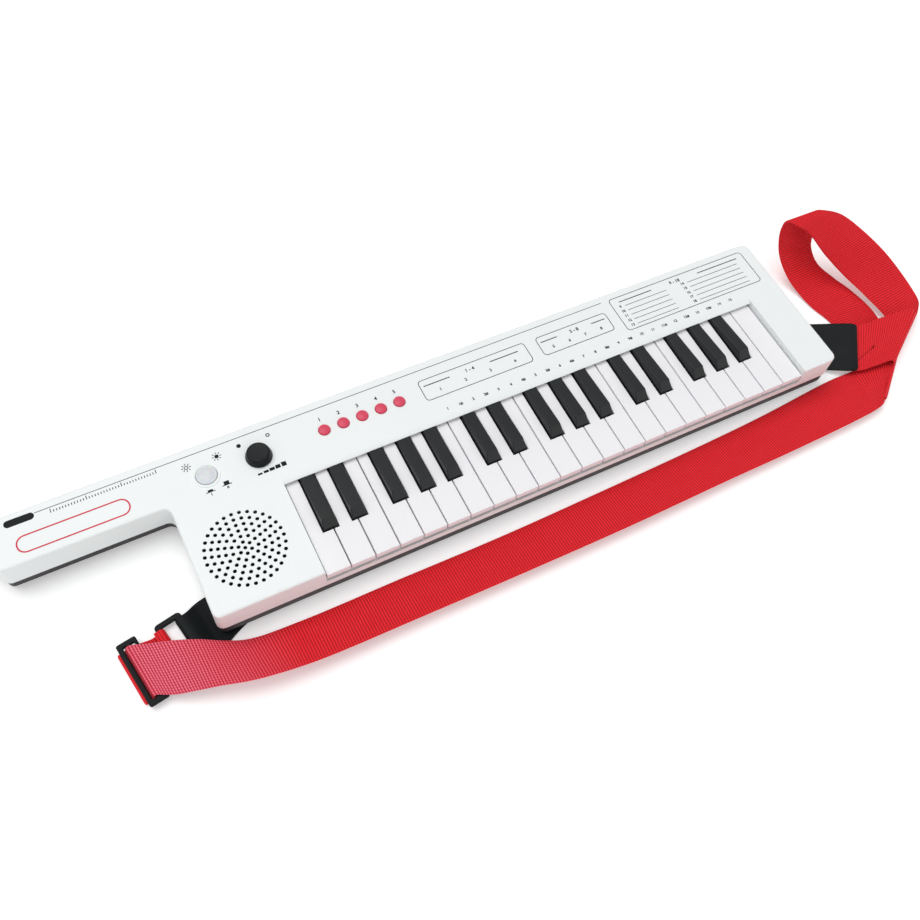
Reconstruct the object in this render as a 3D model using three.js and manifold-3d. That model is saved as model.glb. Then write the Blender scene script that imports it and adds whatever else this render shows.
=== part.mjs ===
import * as THREE from "three";
import { mergeVertices } from "three/addons/utils/BufferGeometryUtils.js";
import Module from "manifold-3d";

const wasm = await Module();
wasm.setup();

// All lengths are in millimetres. While building, x and y start at the left front corner of the first white
// key, and z at the floor. The finished group is shifted so that its origin is the bottom centre of its box.

// Case: plan, heights and walls
const keyPitch = 19;
const whiteCount = 22;
const caseDepth = 134;
const leftBlock = 81;
const rightBlock = 34;
const neckDepth = 41;
const neckTipNear = 199.5;
const neckTipFar = 218.5;
const cornerRadius = 5.5;
const farCornerRadius = 6.5;
const notchRadius = 6;
const panelTop = 36;
const topEdgeRadius = 1.8;
const wall = 2.2;
const seamHeight = 14;
const seamGap = 0.3;
const lowerInset = 0.8;
const bodyBottom = 2;
const neckBottom = 5.5;
const bottomEdgeRadius = 3;
const footRadius = 5;
const footInset = 12.4;
const footSideInset = 13.5;
const footSideY = 60;
const footBayInset = 23;
const footMiddleX = 179.5;
const neckRibDepth = 18;

// Key bay of the upper case
const baySideGap = 0.6;
const bayWall = 1.8;
const railTop = 20.2;
const railDepth = 4;
const panelDepth = 56.5;
const lipWidth = 3.8;
const lipEdgeTop = 34;
const lipEdgeBottom = 33.3;
const lipFlangeDepth = 5;

// White keys
const keyTop = 30.7;
const keyGap = 1;
const keySkirtBottom = 25;
const keyWall = 1.5;
const keyRoof = 2;
const keyTuck = 20.5;
const notchClearance = 0.9;

// Black keys
const blackWidth = 11.2;
const blackTopWidth = 9;
const blackFront = 32.5;
const blackShoulder = 31.4;
const blackRidgeY = 38.6;
const blackRidgeZ = 37.7;
const blackRidgeRound = 1.2;
const blackRearZ = 32.9;
const blackStepGap = 2.7;
const blackTailTop = 30.4;
const blackWall = 2;

// Pivot of the keys: a round bead on a rail, gripped by a bored block under the rear end of each key
const pivotSetback = 17;
const pivotZ = 24;
const beadRadius = 1.6;
const pivotBore = 1.9;
const clipHalf = 4.5;
const clipBottom = 22.8;
const railBaseHalf = 5.5;
const railBaseBottom = 20.6;
const railBaseTop = 22.2;
const railWebHalf = 0.8;
const railEndGap = 1;
const railPostShares = [0.025, 0.25, 0.48, 0.79, 0.975];

// Plungers under the keys, contact board and contact strip
const plungerSize = 4;
const whitePlungerY = 45;
const whitePlungerBottom = 23.4;
const blackPlungerY = 50;
const blackPlungerBottom = 24.1;
const boardThickness = 1.6;
const contactBoard = [38, 62];
const contactBoardBottom = 17.4;
const contactBoardEnd = 2;
const stripWidth = [40, 54];
const stripBottom = 19.3;
const stripTop = 20.3;
const padRadius = 3;
const padTop = 20.9;
const supportGap = 0.3;
const ribThickness = 2;
const boardRibShares = [0.05, 0.27, 0.5, 0.73, 0.95];

// Speaker and grille
const grilleX = -43.6;
const grilleY = 41.2;
const grilleHoleRadius = 1.2;
const grilleRingPitch = 4.7;
const grilleRingHoles = [6, 11, 16, 21, 26, 31];
const speakerRadius = 32;
const speakerSeatGap = 0.3;
const speakerRimHeight = 5;
const speakerBottom = 12;
const magnetRadius = 18;
const basketRadius = 15;
const magnetTop = 20;
const coneThickness = 1;
const coneThroat = 9;
const flangeThickness = 1.6;
const flangeWidth = 4;

// Push buttons, volume knob and power button
const buttonRowInset = 27;
const firstButtonX = 43.7;
const buttonPitch = 15.5;
const buttonRadius = 4.5;
const buttonHoleGap = 0.4;
const buttonTop = 38;
const buttonDome = 1.1;
const buttonFlangeRadius = 5.8;
const buttonFlange = [32, 33.5];
const buttonStemRadius = 1.6;
const buttonStemBottom = 29.5;
const knobX = -8.6;
const knobInset = 28.2;
const knobRadius = 10;
const knobTopRadius = 8.5;
const knobBottom = 36.4;
const knobTop = 42.7;
const knobEdge = 0.9;
const knobShaftRadius = 3;
const knobShaftBottom = 28;
const knobHoleGap = 0.8;
const knobMark = [1, 4.5];
const knobMarkDepth = 0.5;
const powerX = -48.5;
const powerInset = 27.8;
const powerRadius = 7.8;
const powerHoleGap = 0.4;
const powerTop = 38.6;
const powerDome = 1.2;
const powerFlangeRadius = 9.8;
const powerFlange = [31.6, 33.4];
const powerStemRadius = 2;
const powerStemBottom = 28.4;
const powerRimRadius = 10;
const powerRimTop = 36.7;

// Control board under the panel
const controlBoardX = [-65, 118];
const controlBoardDepth = 29.5;
const boardInset = 5;
const controlBoardBottom = 25.4;
const tactSize = 6;
const tactHeight = 1.2;
const potRadius = 8;
const potHeight = 4;
const potBoreGap = 0.3;
const latchSize = 10;
const latchHeight = 1.8;
const latchBoreGap = 0.4;
const hangerRadius = 2.5;
const hangerInset = 5;
const middleHangerX = 20;

// Main board, sockets and battery box
const mainBoardX = [143, 228];
const mainBoardDepth = 25;
const mainBoardBottom = 5.6;
const chipSize = 12;
const chipHeight = 1.5;
const chipInset = 3;
const chipShares = [0.45, 0.75];
const usbX = 152;
const usbWidth = 8;
const usbHeight = 4.1;
const usbDepth = 9;
const usbWall = 0.5;
const usbMouthDepth = 6;
const usbTongueWidth = 4;
const usbTongueHeight = 1;
const audioX = 176;
const audioWidth = 6.5;
const audioHeight = 5;
const audioDepth = 11;
const audioNoseRadius = 2.5;
const audioBoreRadius = 1.75;
const socketHoleGap = 0.5;
const cellDiameter = 14.5;
const cellLength = 50.5;
const cellRow = 3;
const cellPlay = 2.5;
const cellEndRoom = 7.5;
const batteryLeft = 250;
const batteryRoofTop = 20.3;
const batteryWall = 1.5;
const doorThickness = 1.8;
const doorGap = 0.3;
const doorSeat = 2;
const gripGrooves = 5;
const gripPitch = 3;
const gripWidth = 1.2;
const gripLength = 20;
const gripDepth = 0.6;
const gripInset = 13;

// Screw bosses
const bossRadius = 3.5;
const pilotRadius = 1.2;
const pilotDepth = 14;
const screwClearance = 0.3;
const screwHeadRadius = 3.2;
const screwHeadDepth = 2.5;
const lowerBossRadius = 4;
const bossSplit = 11.7;
const bossInset = 9;
const batteryBossGap = 13.5;
const neckBosses = 2;

// Strap: webbing, tabs, ring and slider
const webbingWidth = 41;
const webbingPlay = 1;
const webbingThickness = 1.4;
const tabThickness = 1.5;
const tabPinRadius = 1.5;
const tabPinGap = 0.3;
const tabPinTop = 8;
const tabPinBottom = 0.94;
const ringWidth = 20.5;
const ringBar = 4;
const ringThickness = 3.5;
const ringBottom = 2.7;
const ringX = -106.1;
const ringY = 2.1;
const ringTurn = 0.2;
const sliderWidth = 14.6;
const sliderBars = [3.6, 2.6, 2.4];
const sliderSlots = [3.2, 2.8];
const sliderThickness = 3.5;
const sliderBottom = 4.2;
const sliderX = -137.05;
const sliderY = -2.1;
const sliderTurn = 0.166;
const hardwareCorner = 3;
const hardwareEdge = 0.7;
const hardwareReach = 0.5;

// Colours
const white = "#f0faf8";
const keyWhite = "#f7f5fb";
const blackPlastic = "#202627";
const caseBlack = "#343034";
const red = "#e04a66";
const webbingRed = "#e01b22";
const tabBlack = "#1f2425";
const rubberGrey = "#8d9396";
const boardGreen = "#2f6b45";
const metal = "#b9bcc0";
const paperGrey = "#3a3a3c";
const milky = "#e9f1f2";

// Derived sizes
const bayWidth = keyPitch * whiteCount;
const caseRight = bayWidth + rightBlock;
const ceiling = panelTop - wall;
const bodyFloor = bodyBottom + wall;
const neckFront = caseDepth - neckDepth;
const lipFront = caseDepth - panelDepth;
const lipBack = lipFront + lipWidth;
const keyRear = lipFront + keyTuck;
const blackStep = lipFront + blackStepGap;
const pivotY = lipFront + pivotSetback;
const clipFront = pivotY - clipHalf;
const railBase = [pivotY - railBaseHalf, pivotY + railBaseHalf];
const buttonRow = caseDepth - buttonRowInset;
const knobY = caseDepth - knobInset;
const powerY = caseDepth - powerInset;
const boardRear = caseDepth - boardInset;
const controlBoardY = [boardRear - controlBoardDepth, boardRear];
const mainBoardY = [boardRear - mainBoardDepth, boardRear];
const hardwareLength = webbingWidth + 2 * (ringBar + webbingPlay);
const arcSteps = 4;
const buttonCount = 5;
const largeSides = 28;
const roundSides = 14;
const postSides = 12;
const boreSides = 10;
const holeSides = 6;
const padSides = 4;
const knobSides = 22;
const overshoot = 1;

// The finished plan of the case, counter-clockwise: x, y and corner radius, negative at the inner corner.
const casePlan = [
  [-leftBlock, 0, cornerRadius],
  [caseRight, 0, cornerRadius],
  [caseRight, caseDepth, farCornerRadius],
  [-neckTipFar, caseDepth, cornerRadius],
  [-neckTipNear, neckFront, cornerRadius],
  [-leftBlock, neckFront, -notchRadius],
];
const bodyPlan = [
  [-leftBlock, 0, cornerRadius],
  [caseRight, 0, cornerRadius],
  [caseRight, caseDepth, farCornerRadius],
  [-leftBlock, caseDepth, cornerRadius],
];

// Places of the screw bosses, of the feet and of the screws that hold the strap tabs
const bossPlaces = [
  [-neckTipNear + bossInset, (neckFront + caseDepth) / 2],
  [-leftBlock - 2 * bossInset, (neckFront + caseDepth) / 2],
  [-leftBlock + bossInset, caseDepth - bossInset],
  [-leftBlock + bossInset, bossInset],
  [-bossInset, bossInset],
  [caseRight - bossInset, bossInset],
  [caseRight - bossInset, caseDepth - bossInset],
  [mainBoardX[0] - bossInset, caseDepth - bossInset],
  [batteryLeft - batteryBossGap, caseDepth - bossInset],
];
const footPlaces = [
  [footSideInset - leftBlock, footSideY],
  [-footBayInset, footInset],
  [footMiddleX, footInset],
  [bayWidth - footBayInset, footInset],
  [caseRight - footSideInset, caseDepth - footInset],
  [footMiddleX, caseDepth - footInset],
  [footSideInset - leftBlock, caseDepth - footInset],
];
const tabScrewShares = { left: [-3.15, 0.8], right: [23, 2.8] };

// Black keys of one octave: the boundary between white keys that each sits at, and its offset in key pitches
const blackOctaveShares = [[1, -0.1], [2, 0.09], [4, -0.2], [5, 0], [6, 0.16]];
const octaveWhites = 7;

// Basic solids

// Turns a geometry into a solid for boolean work.
function toSolid(geometry) {
  const bare = geometry.index ? geometry.toNonIndexed() : geometry;
  const skin = new THREE.BufferGeometry();
  skin.setAttribute("position", bare.getAttribute("position"));
  const merged = mergeVertices(skin, 1e-4);
  const index = merged.index.array;
  const kept = [];
  for (let i = 0; i < index.length; i += 3) {
    const [a, b, c] = [index[i], index[i + 1], index[i + 2]];
    if (a !== b && b !== c && c !== a) kept.push(a, b, c);
  }
  const vertProperties = merged.attributes.position.array;
  return new wasm.Manifold(new wasm.Mesh({ numProp: 3, vertProperties, triVerts: new Uint32Array(kept) }));
}

// Turns a solid back into a mesh with a name and a colour.
function toMesh(name, solid, color) {
  const { numProp, numVert, vertProperties, triVerts } = solid.getMesh();
  const positions = new Float32Array(numVert * 3);
  for (let i = 0; i < numVert; i++) {
    positions.set(vertProperties.subarray(i * numProp, i * numProp + 3), i * 3);
  }
  const indexed = new THREE.BufferGeometry();
  indexed.setAttribute("position", new THREE.BufferAttribute(positions, 3));
  indexed.setIndex(new THREE.BufferAttribute(triVerts, 1));
  const geometry = indexed.toNonIndexed();
  geometry.computeVertexNormals();
  const mesh = new THREE.Mesh(geometry, new THREE.MeshStandardMaterial({ color }));
  mesh.name = name;
  return mesh;
}

const join = (solids) => solids.reduce((sum, solid) => sum.add(solid));
const middle = ([from, to]) => (from + to) / 2;
const span = ([from, to]) => to - from;
const about = (centre, size) => [centre - size / 2, centre + size / 2];

function block(xs, ys, zs) {
  const box = new THREE.BoxGeometry(span(xs), span(ys), span(zs));
  return toSolid(box.translate(middle(xs), middle(ys), middle(zs)));
}

// A round post along z; the second radius is that of its top.
function post(x, y, zs, radius, topRadius = radius, sides = roundSides) {
  const geometry = new THREE.CylinderGeometry(topRadius, radius, span(zs), sides);
  return toSolid(geometry.rotateX(Math.PI / 2).translate(x, y, middle(zs)));
}

// A round bar along x.
function bar(xs, y, z, radius, sides = roundSides) {
  const geometry = new THREE.CylinderGeometry(radius, radius, span(xs), sides);
  return toSolid(geometry.rotateZ(Math.PI / 2).translate(middle(xs), y, z));
}

// A solid of revolution about a vertical axis. The profile is a closed list of radius and height.
function turned(x, y, profile, sides = roundSides) {
  const points = [...profile, profile[0]].map(([r, z]) => new THREE.Vector2(r, z));
  return toSolid(new THREE.LatheGeometry(points, sides).rotateX(Math.PI / 2).translate(x, y, 0));
}

function shapeOf(points) {
  return new THREE.Shape(points.map(([x, y]) => new THREE.Vector2(x, y)));
}

// A flat outline in x and y, raised over a range of heights.
function prism(points, zs) {
  const geometry = new THREE.ExtrudeGeometry(shapeOf(points), { depth: span(zs), bevelEnabled: false });
  return toSolid(geometry.translate(0, 0, zs[0]));
}

// A side view in y and z, drawn out along x.
function sidePrism(points, xs) {
  const geometry = new THREE.ExtrudeGeometry(shapeOf(points), { depth: span(xs), bevelEnabled: false });
  const turn = new THREE.Matrix4().makeBasis(
    new THREE.Vector3(0, 1, 0),
    new THREE.Vector3(0, 0, 1),
    new THREE.Vector3(1, 0, 0),
  );
  return toSolid(geometry.applyMatrix4(turn).translate(xs[0], 0, 0));
}

// A front view in x and z, drawn out along y.
function frontPrism(points, ys) {
  const geometry = new THREE.ExtrudeGeometry(shapeOf(points), { depth: span(ys), bevelEnabled: false });
  return toSolid(geometry.rotateX(Math.PI / 2).translate(0, ys[1], 0));
}

// Moves every side of a plan inwards by a distance and adapts the corner radii.
function insetPlan(plan, distance) {
  const count = plan.length;
  return plan.map(([x, y, radius], i) => {
    const [px, py] = plan[(i + count - 1) % count];
    const [nx, ny] = plan[(i + 1) % count];
    const before = new THREE.Vector2(x - px, y - py).normalize();
    const after = new THREE.Vector2(nx - x, ny - y).normalize();
    const share = distance / (1 + before.dot(after));
    const shiftX = -(before.y + after.y) * share;
    const shiftY = (before.x + after.x) * share;
    return [x + shiftX, y + shiftY, Math.abs(radius) > 0 ? radius - distance : 0];
  });
}

// The points of a plan with its corners rounded; each corner gives the same number of points.
function roundedPoints(plan) {
  const count = plan.length;
  const points = [];
  plan.forEach(([x, y, signed], i) => {
    const radius = Math.abs(signed);
    const [px, py] = plan[(i + count - 1) % count];
    const [nx, ny] = plan[(i + 1) % count];
    const before = new THREE.Vector2(x - px, y - py).normalize();
    const after = new THREE.Vector2(nx - x, ny - y).normalize();
    const turn = Math.atan2(before.cross(after), before.dot(after));
    const reach = radius * Math.tan(Math.abs(turn) / 2);
    const side = Math.sign(turn);
    const cx = x - before.x * reach - before.y * radius * side;
    const cy = y - before.y * reach + before.x * radius * side;
    for (let step = 0; step <= arcSteps; step++) {
      const angle = Math.atan2(-before.x * side, before.y * side) + (turn * step) / arcSteps;
      points.push([cx + radius * Math.cos(angle), cy + radius * Math.sin(angle)]);
    }
  });
  return points;
}

// A closed skin over a stack of rings that all have the same number of points: [points, height].
function stacked(rings) {
  const size = rings[0][0].length;
  const corners = rings.flatMap(([points, z]) => points.map(([x, y]) => [x, y, z]));
  const triangles = [];
  for (let ring = 0; ring + 1 < rings.length; ring++) {
    for (let i = 0; i < size; i++) {
      const [a, b] = [ring * size + i, ring * size + ((i + 1) % size)];
      triangles.push([a, b, b + size], [a, b + size, a + size]);
    }
  }
  const last = (rings.length - 1) * size;
  for (const [start, flip] of [[0, true], [last, false]]) {
    const ring = corners.slice(start, start + size).map(([x, y]) => new THREE.Vector2(x, y));
    for (const [a, b, c] of THREE.ShapeUtils.triangulateShape(ring, [])) {
      triangles.push(flip ? [start + c, start + b, start + a] : [start + a, start + b, start + c]);
    }
  }
  const geometry = new THREE.BufferGeometry();
  geometry.setAttribute("position", new THREE.Float32BufferAttribute(corners.flat(), 3));
  geometry.setIndex(triangles.flat());
  return toSolid(geometry);
}

// A plan raised from bottom to top with a rounded upper edge.
function roundedTopBody(plan, zs, radius) {
  const rings = [[roundedPoints(plan), zs[0]]];
  for (let step = 0; step <= arcSteps; step++) {
    const angle = (step / arcSteps) * (Math.PI / 2);
    const inset = radius * (1 - Math.cos(angle));
    rings.push([roundedPoints(insetPlan(plan, inset)), zs[1] - radius + radius * Math.sin(angle)]);
  }
  return stacked(rings);
}

// A plan raised from bottom to top with a rounded lower edge.
function roundedBottomBody(plan, zs, radius) {
  const rings = [];
  for (let step = 0; step <= arcSteps; step++) {
    const angle = (1 - step / arcSteps) * (Math.PI / 2);
    const inset = radius * (1 - Math.cos(angle));
    rings.push([roundedPoints(insetPlan(plan, inset)), zs[0] + radius - radius * Math.sin(angle)]);
  }
  rings.push([roundedPoints(plan), zs[1]]);
  return stacked(rings);
}

// A band that follows a route. Each station has the two edges of the band: far x, y, z and near x, y, z.
function band(stations, thickness, stepsPerStation) {
  const edges = [0, 3].map((at) => {
    const points = stations.map((station) => new THREE.Vector3(...station.slice(at, at + 3)));
    return new THREE.CatmullRomCurve3(points, false, "centripetal");
  });
  const count = (stations.length - 1) * stepsPerStation;
  const places = edges.map((edge) => Array.from({ length: count + 1 }, (_, i) => edge.getPoint(i / count)));
  const corners = [];
  for (let i = 0; i <= count; i++) {
    const [a, b] = [places[0][i], places[1][i]];
    const [before, after] = [Math.max(i - 1, 0), Math.min(i + 1, count)];
    const across = b.clone().sub(a);
    for (const [edge, point] of [[0, a], [1, b]]) {
      const along = places[edge][after].clone().sub(places[edge][before]);
      const up = along.cross(across).normalize().multiplyScalar(thickness / 2);
      corners.push(point.clone().add(up), point.clone().sub(up));
    }
  }
  const triangles = [];
  const quad = (a, b, c, d) => triangles.push(a, b, c, a, c, d);
  for (let i = 0; i < count; i++) {
    const [aTop, aLow, bTop, bLow] = [4 * i, 4 * i + 1, 4 * i + 2, 4 * i + 3];
    quad(aTop, aTop + 4, bTop + 4, bTop);
    quad(aLow, bLow, bLow + 4, aLow + 4);
    quad(aTop, aLow, aLow + 4, aTop + 4);
    quad(bTop, bTop + 4, bLow + 4, bLow);
  }
  const end = 4 * count;
  quad(0, 2, 3, 1);
  quad(end, end + 1, end + 3, end + 2);
  const geometry = new THREE.BufferGeometry();
  const positions = corners.flatMap((corner) => [corner.x, corner.y, corner.z]);
  geometry.setAttribute("position", new THREE.Float32BufferAttribute(positions, 3));
  geometry.setIndex(triangles);
  return toSolid(geometry);
}

// Route of the webbing: for each station its middle x, y, z in shares of the key pitch, then the way from its
// far edge to its near edge in shares of the webbing width. It runs from under the right tab through two soft
// folds and a standing loop, along the front of the case, through the slider, and back under it to the ring.
const webbingRouteShares = [
  [25.368, 1.158, 0.3235, -0.5366, -0.7804, -0.1098],
  [26.0655, 0.6185, 0.526, -0.5732, -0.8902, -0.1464],
  [27.237, 0.4395, 0.6815, -0.8536, -0.8856, -0.1636],
  [28.308, 0.271, 0.792, -1.1048, -0.8314, -0.1928],
  [28.3945, 0.1365, 0.7235, -1.1368, -0.7855, -0.1682],
  [28.4315, 0.0815, 0.5655, -1.1516, -0.7632, -0.1098],
  [28.611, 0.2025, 0.466, -1.3374, -0.8467, -0.1047],
  [28.7665, 0.3895, 0.4265, -1.5297, -0.9412, -0.107],
  [29.157, 0.95, 0.442, -1.2679, -0.5876, -0.127],
  [29.5805, 1.5465, 0.4685, -0.9078, -0.2183, -0.1515],
  [29.412, 2.8015, 0.737, -1.0186, -0.0042, -0.1464],
  [28.8425, 4.1095, 1.2895, -0.9866, 0.0153, -0.3174],
  [28.0405, 5.186, 2.026, -1.0126, -0.1075, -0.2197],
  [27.231, 5.957, 2.763, -0.9472, -0.1233, -0.0732],
  [26.562, 6.2875, 3.105, -0.8972, -0.095, 0],
  [26.1745, 6.576, 3.1315, -0.8077, 0.0222, -0.0246],
  [26.2895, 6.6425, 2.579, -0.9514, 0.0097, 0],
  [26.352, 6.4545, 1.816, -0.9908, 0.007, 0.0732],
  [26.3825, 6.1285, 1.105, -0.9783, -0.0635, 0.1464],
  [26.5265, 5.404, 0.5, -0.9356, -0.0973, 0.0732],
  [26.821, 4.5035, 0.2235, -0.9824, -0.0014, -0.0366],
  [27.068, 3.598, 0.15, -1.0418, -0.0361, -0.0806],
  [27.3335, 2.4975, 0.118, -1.0404, 0.1247, -0.0658],
  [27.421, 1.2635, 0.059, -1, -0.1951, -0.0037],
  [27.3025, 0.053, 0.0595, -1.0608, -0.5366, 0.006],
  [26.987, -0.9455, 0.058, -1.1993, -0.9162, 0.0074],
  [27.0335, -1.0025, 0.088, -1.1794, -0.9412, 0.0204],
  [27.0525, -1.0265, 0.1615, -1.171, -0.9514, 0.0524],
  [27.0335, -1.0025, 0.235, -1.1794, -0.9412, 0.0843],
  [26.987, -0.9455, 0.266, -1.1993, -0.9162, 0.0973],
  [26.2635, -1.158, 0.2655, -0.7317, -0.9852, 0.1145],
  [25.134, -1.2605, 0.263, -0.1437, -1.0218, 0.1464],
  [24.05, -1.295, 0.2555, -0.0955, -1.0733, 0.1636],
  [20.158, -1.4845, 0.253, 0.0491, -0.995, 0.1854],
  [16.842, -1.5685, 0.279, 0, -0.9514, 0.2095],
  [11.768, -1.671, 0.3105, 0, -0.9389, 0.2387],
  [7.053, -1.6945, 0.316, 0, -0.8976, 0.2438],
  [2.705, -1.645, 0.3345, 0, -0.8953, 0.2609],
  [-1.421, -1.608, 0.416, 0, -0.8851, 0.3123],
  [-3.25, -1.4765, 0.537, 0.0853, -0.8754, 0.3513],
  [-4.1055, -1.2215, 0.621, 0.0978, -0.9171, 0.3021],
  [-4.905, -0.9055, 0.671, 0.0584, -0.956, 0.1881],
  [-5.592, -0.6685, 0.6365, 0.0853, -0.9903, 0.1219],
  [-6.079, -0.5055, 0.5715, 0.1223, -1.0144, 0.0561],
  [-6.5265, -0.332, 0.505, 0.1219, -1.0195, 0.0148],
  [-6.886, -0.0555, 0.466, 0.1668, -0.9959, 0],
  [-7.115, -0.094, 0.463, 0.1668, -0.9954, 0],
  [-7.234, -0.1145, 0.445, 0.1668, -0.9959, 0],
  [-7.301, -0.1255, 0.389, 0.1668, -0.9959, 0],
  [-7.325, -0.1295, 0.295, 0.1668, -0.9959, 0],
  [-7.369, -0.1365, 0.2, 0.1668, -0.9959, 0],
  [-7.442, -0.1485, 0.168, 0.1668, -0.9959, 0],
  [-7.54, -0.1655, 0.163, 0.1668, -0.9959, 0],
  [-7.628, -0.1805, 0.147, 0.1668, -0.9959, 0],
  [-7.67, -0.1875, 0.103, 0.1668, -0.9959, 0],
  [-7.628, -0.1805, 0.061, 0.1668, -0.9959, 0],
  [-7.514, -0.1605, 0.05, 0.1668, -0.9959, 0],
  [-7.177, -0.1045, 0.05, 0.1668, -0.9959, 0],
  [-6.813, -0.0435, 0.05, 0.1668, -0.9959, 0],
  [-6.358, -0.0465, 0.058, 0.1983, -0.9801, 0],
  [-6.1, 0.006, 0.084, 0.1983, -0.9797, 0],
  [-5.966, 0.0335, 0.092, 0.1983, -0.9801, 0],
  [-5.8805, 0.0505, 0.142, 0.1988, -0.9801, 0],
  [-5.85, 0.0565, 0.234, 0.1983, -0.9801, 0],
  [-5.8805, 0.0505, 0.326, 0.1988, -0.9801, 0],
  [-5.966, 0.0335, 0.379, 0.1983, -0.9801, 0],
  [-6.1, 0.006, 0.382, 0.1983, -0.9797, 0],
  [-6.2135, -0.017, 0.366, 0.1988, -0.9797, 0],
];

// Routes of the two tabs, in the same way. The left one starts under the case and wraps round the ring.
const rightTabShares = [
  [22.684, 3.0265, 0.05, -0.6636, -0.8976, 0],
  [23.316, 2.553, 0.0515, -0.634, -0.9268, -0.0014],
  [23.9475, 2.092, 0.062, -0.6344, -0.9389, -0.0111],
  [24.5395, 1.671, 0.1525, -0.6706, -0.9389, -0.083],
  [25.1315, 1.2605, 0.3445, -0.6826, -0.905, -0.1441],
  [25.774, 0.7785, 0.579, -0.6488, -0.9366, -0.1464],
  [25.9395, 0.666, 0.6135, -0.627, -0.9194, -0.1488],
  [26.032, 0.592, 0.6315, -0.5561, -0.8416, -0.146],
];
const leftTabShares = [
  [-2.5265, 1.0265, 0.05, 0.0978, -0.6585, 0],
  [-3.3685, 0.9655, 0.05, 0.0978, -0.8124, 0],
  [-4.1315, 0.7525, 0.05, 0.171, -0.9217, 0],
  [-4.592, 0.5075, 0.055, 0.1344, -0.9829, 0],
  [-4.914, 0.2465, 0.063, 0.1937, -0.956, 0],
  [-5.12, 0.2045, 0.076, 0.2039, -1.0042, 0],
  [-5.2545, 0.1775, 0.084, 0.2034, -1.0042, 0],
  [-5.3185, 0.1645, 0.139, 0.2034, -1.0042, 0],
  [-5.3395, 0.16, 0.234, 0.2034, -1.0038, 0],
  [-5.3185, 0.1645, 0.329, 0.2034, -1.0042, 0],
  [-5.2545, 0.1775, 0.384, 0.2034, -1.0042, 0],
  [-5.12, 0.2045, 0.392, 0.2039, -1.0042, 0],
  [-4.9655, 0.236, 0.361, 0.2034, -1.0038, 0],
  [-4.759, 0.2775, 0.263, 0.1937, -0.956, 0],
  [-4.5525, 0.3195, 0.184, 0.1942, -0.956, 0],
  [-4.346, 0.3615, 0.15, 0.1937, -0.956, 0],
];

// Upper case

function grilleHoles() {
  const places = [[0, 0]];
  grilleRingHoles.forEach((count, ring) => {
    for (let i = 0; i < count; i++) {
      const angle = Math.PI / 2 + (2 * Math.PI * i) / count;
      const reach = grilleRingPitch * (ring + 1);
      places.push([reach * Math.cos(angle), reach * Math.sin(angle)]);
    }
  });
  const shapes = places.map(([x, y]) =>
    shapeOf(
      Array.from({ length: holeSides }, (_, i) => {
        const angle = (2 * Math.PI * (i + 0.5)) / holeSides;
        return [x + grilleHoleRadius * Math.cos(angle), y + grilleHoleRadius * Math.sin(angle)];
      }),
    ),
  );
  const depth = wall + 2 * overshoot;
  const geometry = new THREE.ExtrudeGeometry(shapes, { depth, bevelEnabled: false });
  return toSolid(geometry.translate(grilleX, grilleY, ceiling - overshoot));
}

const buttonPlaces = Array.from({ length: buttonCount }, (_, i) => firstButtonX + buttonPitch * i);
const hangerPlaces = [
  [controlBoardX[0] + hangerInset, controlBoardY[1] - hangerInset],
  [middleHangerX, controlBoardY[0] + hangerInset],
  [middleHangerX, controlBoardY[1] - hangerInset],
  [controlBoardX[1] - hangerInset, controlBoardY[1] - hangerInset],
];

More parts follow.
